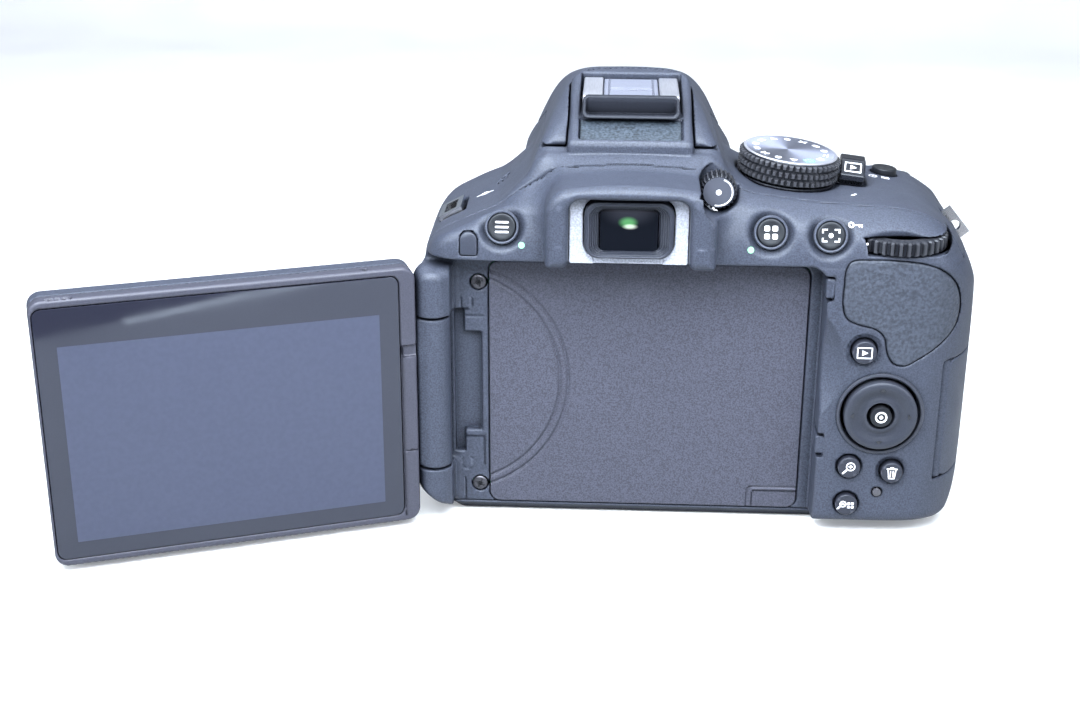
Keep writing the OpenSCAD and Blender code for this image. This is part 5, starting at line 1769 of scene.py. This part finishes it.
dial = Build().on(DIAL)
dial.lathe([(0, -3), (2.35, -3), (2.35, 1.0), (10.3, 1.0), (10.6, 1.15), (10.6, 6.15),
            (10.4, 6.4), (10.2, 6.47), (0, 6.47)], 96)
for row, (z0, z1) in enumerate(STUD_ROWS):
    for k in range(STUDS):
        angle = 2 * math.pi * (k + 0.5 * (row % 2)) / STUDS
        half = 2 * math.pi / STUDS * 0.455
        middle = (z0 + z1) / 2
        dial.add(stud_rectangle(STUD_ROOT, angle, half, z0 + 0.1, z1 - 0.1)
                 + stud_rectangle(STUD_TIP, angle, half * 0.45, middle - 0.36, middle + 0.36),
                 CUBE_FACES)
dial.finish("dial_rim", DIAL_BLACK, "mode_dial_body", "dial_top", "mode_dial", smooth=True)
disc = Build().on(DIAL)
disc.lathe([(0, 6.35), (9.85, 6.35), (9.95, 6.53), (9.88, 6.61), (9.5, 6.63), (9.35, 6.55),
            (0, 6.55)], 96)
disc.finish("dial_disc", DIAL_TOP, "mode_dial_body", smooth=True)
edge = Build().on(DIAL)
edge.lathe([(9.9, 6.35), (10.5, 6.35), (10.5, 6.45), (10.32, 6.59), (9.95, 6.59)], 96)
edge.finish("dial_edge", RAIL, "mode_dial_body", smooth=True)


def two_bars(build):
    build.bar((-0.9, 0.35), (0.9, 0.35), 0.35)
    build.bar((-0.9, -0.4), (0.9, -0.4), 0.35)


def saltire(build):
    build.bar((-0.8, -0.6), (0.8, 0.6), 0.34)
    build.bar((-0.8, 0.6), (0.8, -0.6), 0.34)


DIAL_SIGNS = (
    lambda build: build.disc(0.75),
    lambda build: build.prism([(-0.9, -0.6), (0.9, -0.6), (0, 0.9)]),
    two_bars,
    lambda build: build.ring(0.45, 0.8, 20),
    lambda build: build.round_box(1.7, 1.2, 0.2, (0, 0), 3),
    saltire,
)
SIGN_COUNT, SIGN_CIRCLE = 14, 7.9
signs, green_sign = Build(), Build()
for k in range(SIGN_COUNT):
    angle = 360 / SIGN_COUNT * k - 64
    t = math.radians(angle)
    place = DIAL.at(SIGN_CIRCLE * math.cos(t), SIGN_CIRCLE * math.sin(t), 0, angle - 90)
    if k == 0:
        green_sign.on(place, 6.5, 6.64).box_line(0.95, 0.7, 0.3)
    else:
        DIAL_SIGNS[k % 6](signs.on(place, 6.5, 6.64))
signs.finish("dial_signs", SPECKLED, "mode_dial_body")
green_sign.finish("dial_green_sign", GREEN, "mode_dial_body")


# ---------------------------------------------------------------- lever under the mode dial
def lever(x, y, z):
    a, b, c = LEVER.local(x, y, z)
    q = radius(a, b)
    thick = between(c, 0.22, 0.84)
    d = either(both(q - 10.88, thick), both(between(a, 9.5, 16.9), between(b, 0.2, 6.5), thick))
    # tab with a sloped face
    tab = meet(-(b + 0.9) * 0.62 + (c - 2.9) * 0.785, -(b + 1.0), 0.22)
    tab = meet(meet(tab, c - 5.55, 0.4), b - 6.6, 0.4)
    tab = meet(tab, between(a, 11.65, 17.2), 0.35)
    tab = both(tab, either(1.5 - c, both(0.0 - b, 0.22 - c)))
    return both(either(d, both(tab, 0.22 - c)), 2.65 - q)


field_piece("lever_tab", lever, (23, -18, 74), (55, 8, 85.5), 0.26, DIAL_BLACK,
            "live_view_body", "soft_black", "live_view_lever")
LABEL = Frame(LEVER.out([14.4, 0.75, 4.2]),
              LEVER.axes @ np.stack([[1, 0, 0], [0, 0.785, 0.62], [0, -0.62, 0.785]], 1))
sign = Build().on(LABEL, -0.15, 0.06)
sign.box_line(1.75, 1.15, 0.28)
sign.prism([(-0.6, -0.6), (0.8, 0), (-0.6, 0.6)])
sign.finish("lever_sign", WHITE, "live_view_body")

# ---------------------------------------------------------------- knurled dials
STEPS_PER_TOOTH = 6


def knurled_rows(rows, teeth, tip, root, tooth):
    """Points of toothed rows; rows hold height and inset, tooth its start and end (0 to 1)."""
    count = teeth * STEPS_PER_TOOTH
    points = []
    for z, inset in rows:
        for i in range(count):
            phase = (i % STEPS_PER_TOOTH) / STEPS_PER_TOOTH
            r = (tip if tooth[0] < phase < tooth[1] else root) - inset
            a = 2 * math.pi * i / count
            points.append((r * math.cos(a), r * math.sin(a), z))
    faces = []
    for k in range(len(rows) - 1):
        faces += band(count, k, k + 1)
    return points, faces, count


points, faces, count = knurled_rows(((-1.6, 0.4), (-1.25, 0.0), (1.2, 0.0), (1.5, 0.4)),
                                    teeth=36, tip=10.55, root=10.0, tooth=(0.18, 0.72))
for z in (1.5, -1.6):
    points += [(u, v, z) for u, v in circle(7.6, count)]
faces += band(count, 3, 4) + band(count, 4, 5) + band(count, 5, 0)
wheel = Build().on(Frame(WHEEL, np.eye(3)))
wheel.add(points, faces)
wheel.finish("wheel", DIAL_BLACK, "command_dial_body", "dial_black", "command_dial", smooth=True)

KNOB_FRAME = facing(KNOB, BACKWARD)
points, faces, count = knurled_rows(
    ((-2.0, 0.3), (-1.7, 0), (2.5, 0), (2.9, 0.2), (3.1, 0.5)),
    teeth=24, tip=3.92, root=3.6, tooth=(0.2, 0.75))
points += [(0, 0, -2.0), (0, 0, 3.1)]
for i in range(count):
    j = (i + 1) % count
    faces.append((5 * count, j, i))
    faces.append((5 * count + 1, 4 * count + i, 4 * count + j))
knob = Build().on(KNOB_FRAME)
knob.add(points, faces)
knob.finish("diopter_knob", DIAL_BLACK, "diopter", "dial_black", "diopter_dial", smooth=True)
cap = Build().on(KNOB_FRAME)
cap.lathe([(0, 3.0), (3.3, 3.0), (3.3, 3.13), (0, 3.13)])
cap.finish("diopter_face", SATIN, "diopter", smooth=True)
sign = Build().on(KNOB_FRAME, 3.05, 3.2)
sign.ring(2.78, 3.06, 64, -105, 70)
sign.lathe([(0, 3.05), (0.6, 3.05), (0.6, 3.2), (0, 3.2)], 32)
sign.finish("diopter_sign", WHITE, "diopter")

# ---------------------------------------------------------------- top keys
button = Build().on(SHUTTER)
button.lathe([(0, -3.9), (1.9, -3.9), (1.9, -2.9), (4.15, -2.9), (4.15, 3.2), (3.95, 3.55),
              (3.4, 3.72), (1.8, 3.66), (0, 3.6)])
button.finish("release_button", DIAL_TOP, "shutter_release", "bright_metal", "shutter_button",
              smooth=True)
switch = Build().on(SHUTTER)
switch.lathe([(4.45, 0.25), (7.6, 0.25), (7.85, 0.5), (7.85, 1.6), (7.4, 2.05), (6.2, 2.35),
              (4.9, 2.38), (4.5, 2.1)], 80)
tab = SHUTTER.at(0, 0, 0, 62)
switch.on(tab, 0.9, 2.65).round_box(4.6, 3.2, 0.8, (7.4, 0), 4, chamfer=0.3)
for v in (-0.9, 0, 0.9):
    switch.on(tab, 2.5, 2.75).bar((8.2, v), (9.5, v), 0.25)
switch.finish("power_ring_body", SATIN, "power_ring", "soft_black", "power_switch", smooth=True)
round_key("info_key_top", "info_button", "info_key", INFO, r=2.85, rise=0.75)
round_key("exposure_key_top", "exposure_button", "exposure_key", EXPOSURE, r=2.45, rise=0.75)
round_key("record_key_top", "movie_button", "movie_key", MOVIE, r=2.05, rise=0.55, mat=RED)
sign = Build().on(EXPOSURE, 0.5, 0.76)
sign.bar((-0.9, 0.55), (0.5, 0.55), 0.25)
sign.bar((-0.2, 0.0), (-0.2, 1.1), 0.25)
sign.bar((-0.3, -0.8), (1.1, -0.8), 0.25)
sign.finish("exposure_sign", WHITE, "exposure_key")

# ---------------------------------------------------------------- front keys
round_key("release_key", "lens_release_button", "lens_release",
          forward(RELEASE_X, FRONT_Y, RELEASE_Z), r=4.1, rise=1.95, dish=0.5)
mount_face = Frame((0, 31.6, MOUNT_Z), turn_x(-90) @ turn_z(180))
pin = Build().on(mount_face.at(26.2, 0, 0))
pin.lathe([(0, 0), (1.35, 0), (1.35, 3.7), (1.0, 4.05), (0, 4.1)], 32)
pin.finish("lock_pin", STEEL, "lens_release", smooth=True)
round_key("function_key_top", "function_button", "function_key",
          forward(FUNCTION_X, 12.9, FUNCTION_Z), r=2.35, rise=0.95, dish=0.1)
FLASH_KEY = forward(FLASH_KEY_X, 13.0, FLASH_KEY_Z)
round_key("flash_key_top", "flash_button", "flash_key", FLASH_KEY, r=2.5, rise=1.75, dish=0.1,
          flange=False)
sign = Build().on(FLASH_KEY, 1.5, 1.78)
sign.prism([(0.5, 1.3), (-0.7, -0.1), (0.05, -0.1)])
sign.prism([(-0.5, -1.3), (0.7, 0.1), (-0.05, 0.1)])
sign.finish("flash_sign", WHITE, "flash_key")

# ---------------------------------------------------------------- display
glass = Build().on(MONITOR, 2.1, 3.0)
glass.round_box(76.3, 57.3, 1.9, (GLASS_A, 0), 6)
glass_plate = glass.obj("glass_plate", GLASS)
bevel(glass_plate, "edge")
register(glass_plate, "monitor", "display_glass", "monitor_glass")
backing = Build().on(MONITOR, -1.6, 1.98)
backing.round_box(70.2, 47.7, 0.4, (GLASS_A, PANEL_B), 3)
backing.finish("panel_frame", INNER, "monitor", "display_panel", "lcd_panel")
active = Build().on(MONITOR, 2.9, 3.02)
active.round_box(67.6, 45.1, 0.15, (GLASS_A, PANEL_B), 2)
active.finish("active_area", PANEL, "monitor")

# ---------------------------------------------------------------- printed marks
dots = Print()
for origin in ((-22.9, -30.2, 67.8), (26.1, -30.2, 67.7)):
    dots.on(facing(origin, SLOPE)).prism(circle(0.7, 20))
dots.drape(SLOPE, lift=0.03).finish("green_dots", GREEN, "body")
# a key-shaped mark and a dot between the rear keys and the command dial
marks = Print().on(facing((48.3, -28.4, 73.2), SLOPE))
marks.ring(0.33, 0.66, 20, (-0.95, 0))
marks.strip(-0.35, -0.13, 1.4, 0.13)
marks.strip(1.14, -0.58, 1.4, -0.12)
marks.strip(0.6, -0.46, 0.86, -0.12)
marks.on(facing((50.7, -29.5, 69.3), SLOPE)).prism(circle(0.24, 12))
marks.drape(SLOPE).finish("key_print", WHITE, "body")
# on top: a ring crossed by a line, an index tick, a small ring beside three lines
marks = Print().on(Frame((-32.4, -7.6, 74), np.eye(3)))
marks.ring(0.62, 0.86, 20)
marks.strip(-1.9, -0.13, 1.9, 0.13)
marks.on(Frame((49.2, -15.2, 76), turn_z(-35))).strip(-0.25, -0.9, 0.25, 0.9)
marks.on(Frame((57.0, 2.2, 76), turn_z(-4)))
marks.ring(0.75, 1.0, 18, (-1.3, 0))
marks.strip(-1.5, -0.1, -1.1, 0.3)
marks.strip(0.6, -0.9, 2.4, -0.65)
marks.strip(0.6, -0.3, 2.4, -0.05)
marks.strip(0.6, 0.3, 2.4, 0.55)
marks.drape(UPWARD).finish("top_print", WHITE, "body")


# ---------------------------------------------------------------- stage
def stage_object(name, points, faces, mat, smooth=False):
    mesh = bpy.data.meshes.new(name)
    mesh.from_pydata([tuple(np.array(v) * MM) for v in points], [], faces)
    if smooth:
        mesh.polygons.foreach_set("use_smooth", [True] * len(mesh.polygons))
    link_object(name, mesh, mat)


def table_material():
    """White to the lens, but a quieter bounce onto the camera body."""
    mat = material("table_white", color=(0.84, 0.85, 0.86), rough=0.55, grain=40, bump=0.03,
                   speck_scale=30, tint=(1, 1, 1), glow=((0.92, 0.95, 1.0), 0.22))
    g = Graph(mat)
    seen = g.add("LightPath", {}).outputs["Is Camera Ray"]
    dim = g.remap(seen, (0, 1), (0.45, 1.0))
    g.feed(g.shader, {"Emission Strength": g.math("MULTIPLY", seen, 0.22),
                      "Base Color": g.multiply(g.source("Base Color"), dim)})
    return mat


# table that curves up into a backdrop, as y, z stations
TABLE_Z = -0.25
BEND_Y, BEND_RADIUS = 520, 260
profile = [(-900, TABLE_Z), (BEND_Y, TABLE_Z)]
for k in range(1, 19):
    a = math.radians(5 * k)
    profile.append((BEND_Y + BEND_RADIUS * math.sin(a),
                    TABLE_Z + BEND_RADIUS - BEND_RADIUS * math.cos(a)))
profile.append((BEND_Y + BEND_RADIUS, 1400))
stage_object("sweep", [(x, y, z) for y, z in profile for x in (-1600, 1600)],
             [(2 * i, 2 * i + 1, 2 * i + 3, 2 * i + 2) for i in range(len(profile) - 1)],
             table_material(), smooth=True)


def area_light(name, place, target, size, watts, color):
    light = bpy.data.lights.new(name, "AREA")
    light.shape = "RECTANGLE"
    light.size, light.size_y = size[0] * MM, size[1] * MM
    light.energy = watts
    light.color = color
    ob = bpy.data.objects.new(name, light)
    ob.location = Vector(place) * MM
    ob.rotation_euler = (Vector(target) - Vector(place)).to_track_quat("-Z", "Y").to_euler()
    bpy.context.scene.collection.objects.link(ob)


COOL_WHITE = (0.90, 0.95, 1.0)
area_light("key_softbox", place=(-20, -200, 285), target=(0, 0, 45), size=(400, 210),
           watts=4.9, color=COOL_WHITE)
area_light("top_softbox", place=(10, 120, 560), target=(0, 0, 40), size=(520, 420),
           watts=2.3, color=COOL_WHITE)
area_light("fill_left", place=(-560, -320, 330), target=(0, 0, 40), size=(460, 420),
           watts=2.7, color=COOL_WHITE)
area_light("fill_right", place=(520, -360, 320), target=(0, 0, 40), size=(420, 420),
           watts=2.1, color=(0.92, 0.96, 1.0))
world = bpy.data.worlds.new("soft_world")
bpy.context.scene.world = world
world.use_nodes = True
background = world.node_tree.nodes["Background"].inputs
background["Color"].default_value = (0.82, 0.89, 1.0, 1)
background["Strength"].default_value = 0.50

# a dark floor near the lens, which the glass mirrors, and a bright strip along its edge
stage_object("dark_floor",
             [(-700, -900, 0.1), (700, -900, 0.1), (700, -197, 0.1), (-700, -197, 0.1)],
             [(0, 1, 2, 3)],
             material("dark_room", color=(0.004, 0.004, 0.005), rough=0.9, grain=20, bump=0.02))
stage_object("table_edge",
             [(-45, -196.9, 0.1), (60, -196.9, 0.1), (60, -188, 0.1), (-45, -192, 0.1)],
             [(0, 1, 2, 3)],
             material("table_edge", color=(0.9, 0.92, 0.95), rough=0.6, grain=20, bump=0.02,
                      glow=((0.9, 0.95, 1.0), 1.3)))

# ---------------------------------------------------------------- view
VIEW_PLACE = (-3.47, -370.06, 177.85)
TILT, ROLL, PAN = math.radians(21.87), math.radians(0.29), math.radians(-2.58)
ahead = np.array([math.sin(PAN) * math.cos(TILT), math.cos(PAN) * math.cos(TILT),
                  -math.sin(TILT)])
level = np.array([math.cos(PAN), -math.sin(PAN), 0])
upright = np.cross(level, ahead)
right = math.cos(ROLL) * level + math.sin(ROLL) * upright
up = -math.sin(ROLL) * level + math.cos(ROLL) * upright
view = bpy.data.cameras.new("view")
view.sensor_width = 36
view.lens = 55.5206667
view.clip_start = 0.01
view.clip_end = 10
view_object = bpy.data.objects.new("view", view)
bpy.context.scene.collection.objects.link(view_object)
view_object.matrix_world = Matrix(
    [[right[i], up[i], -ahead[i], VIEW_PLACE[i] * MM] for i in range(3)] + [[0, 0, 0, 1]])
bpy.context.scene.camera = view_object
bpy.context.scene.view_settings.view_transform = "Standard"
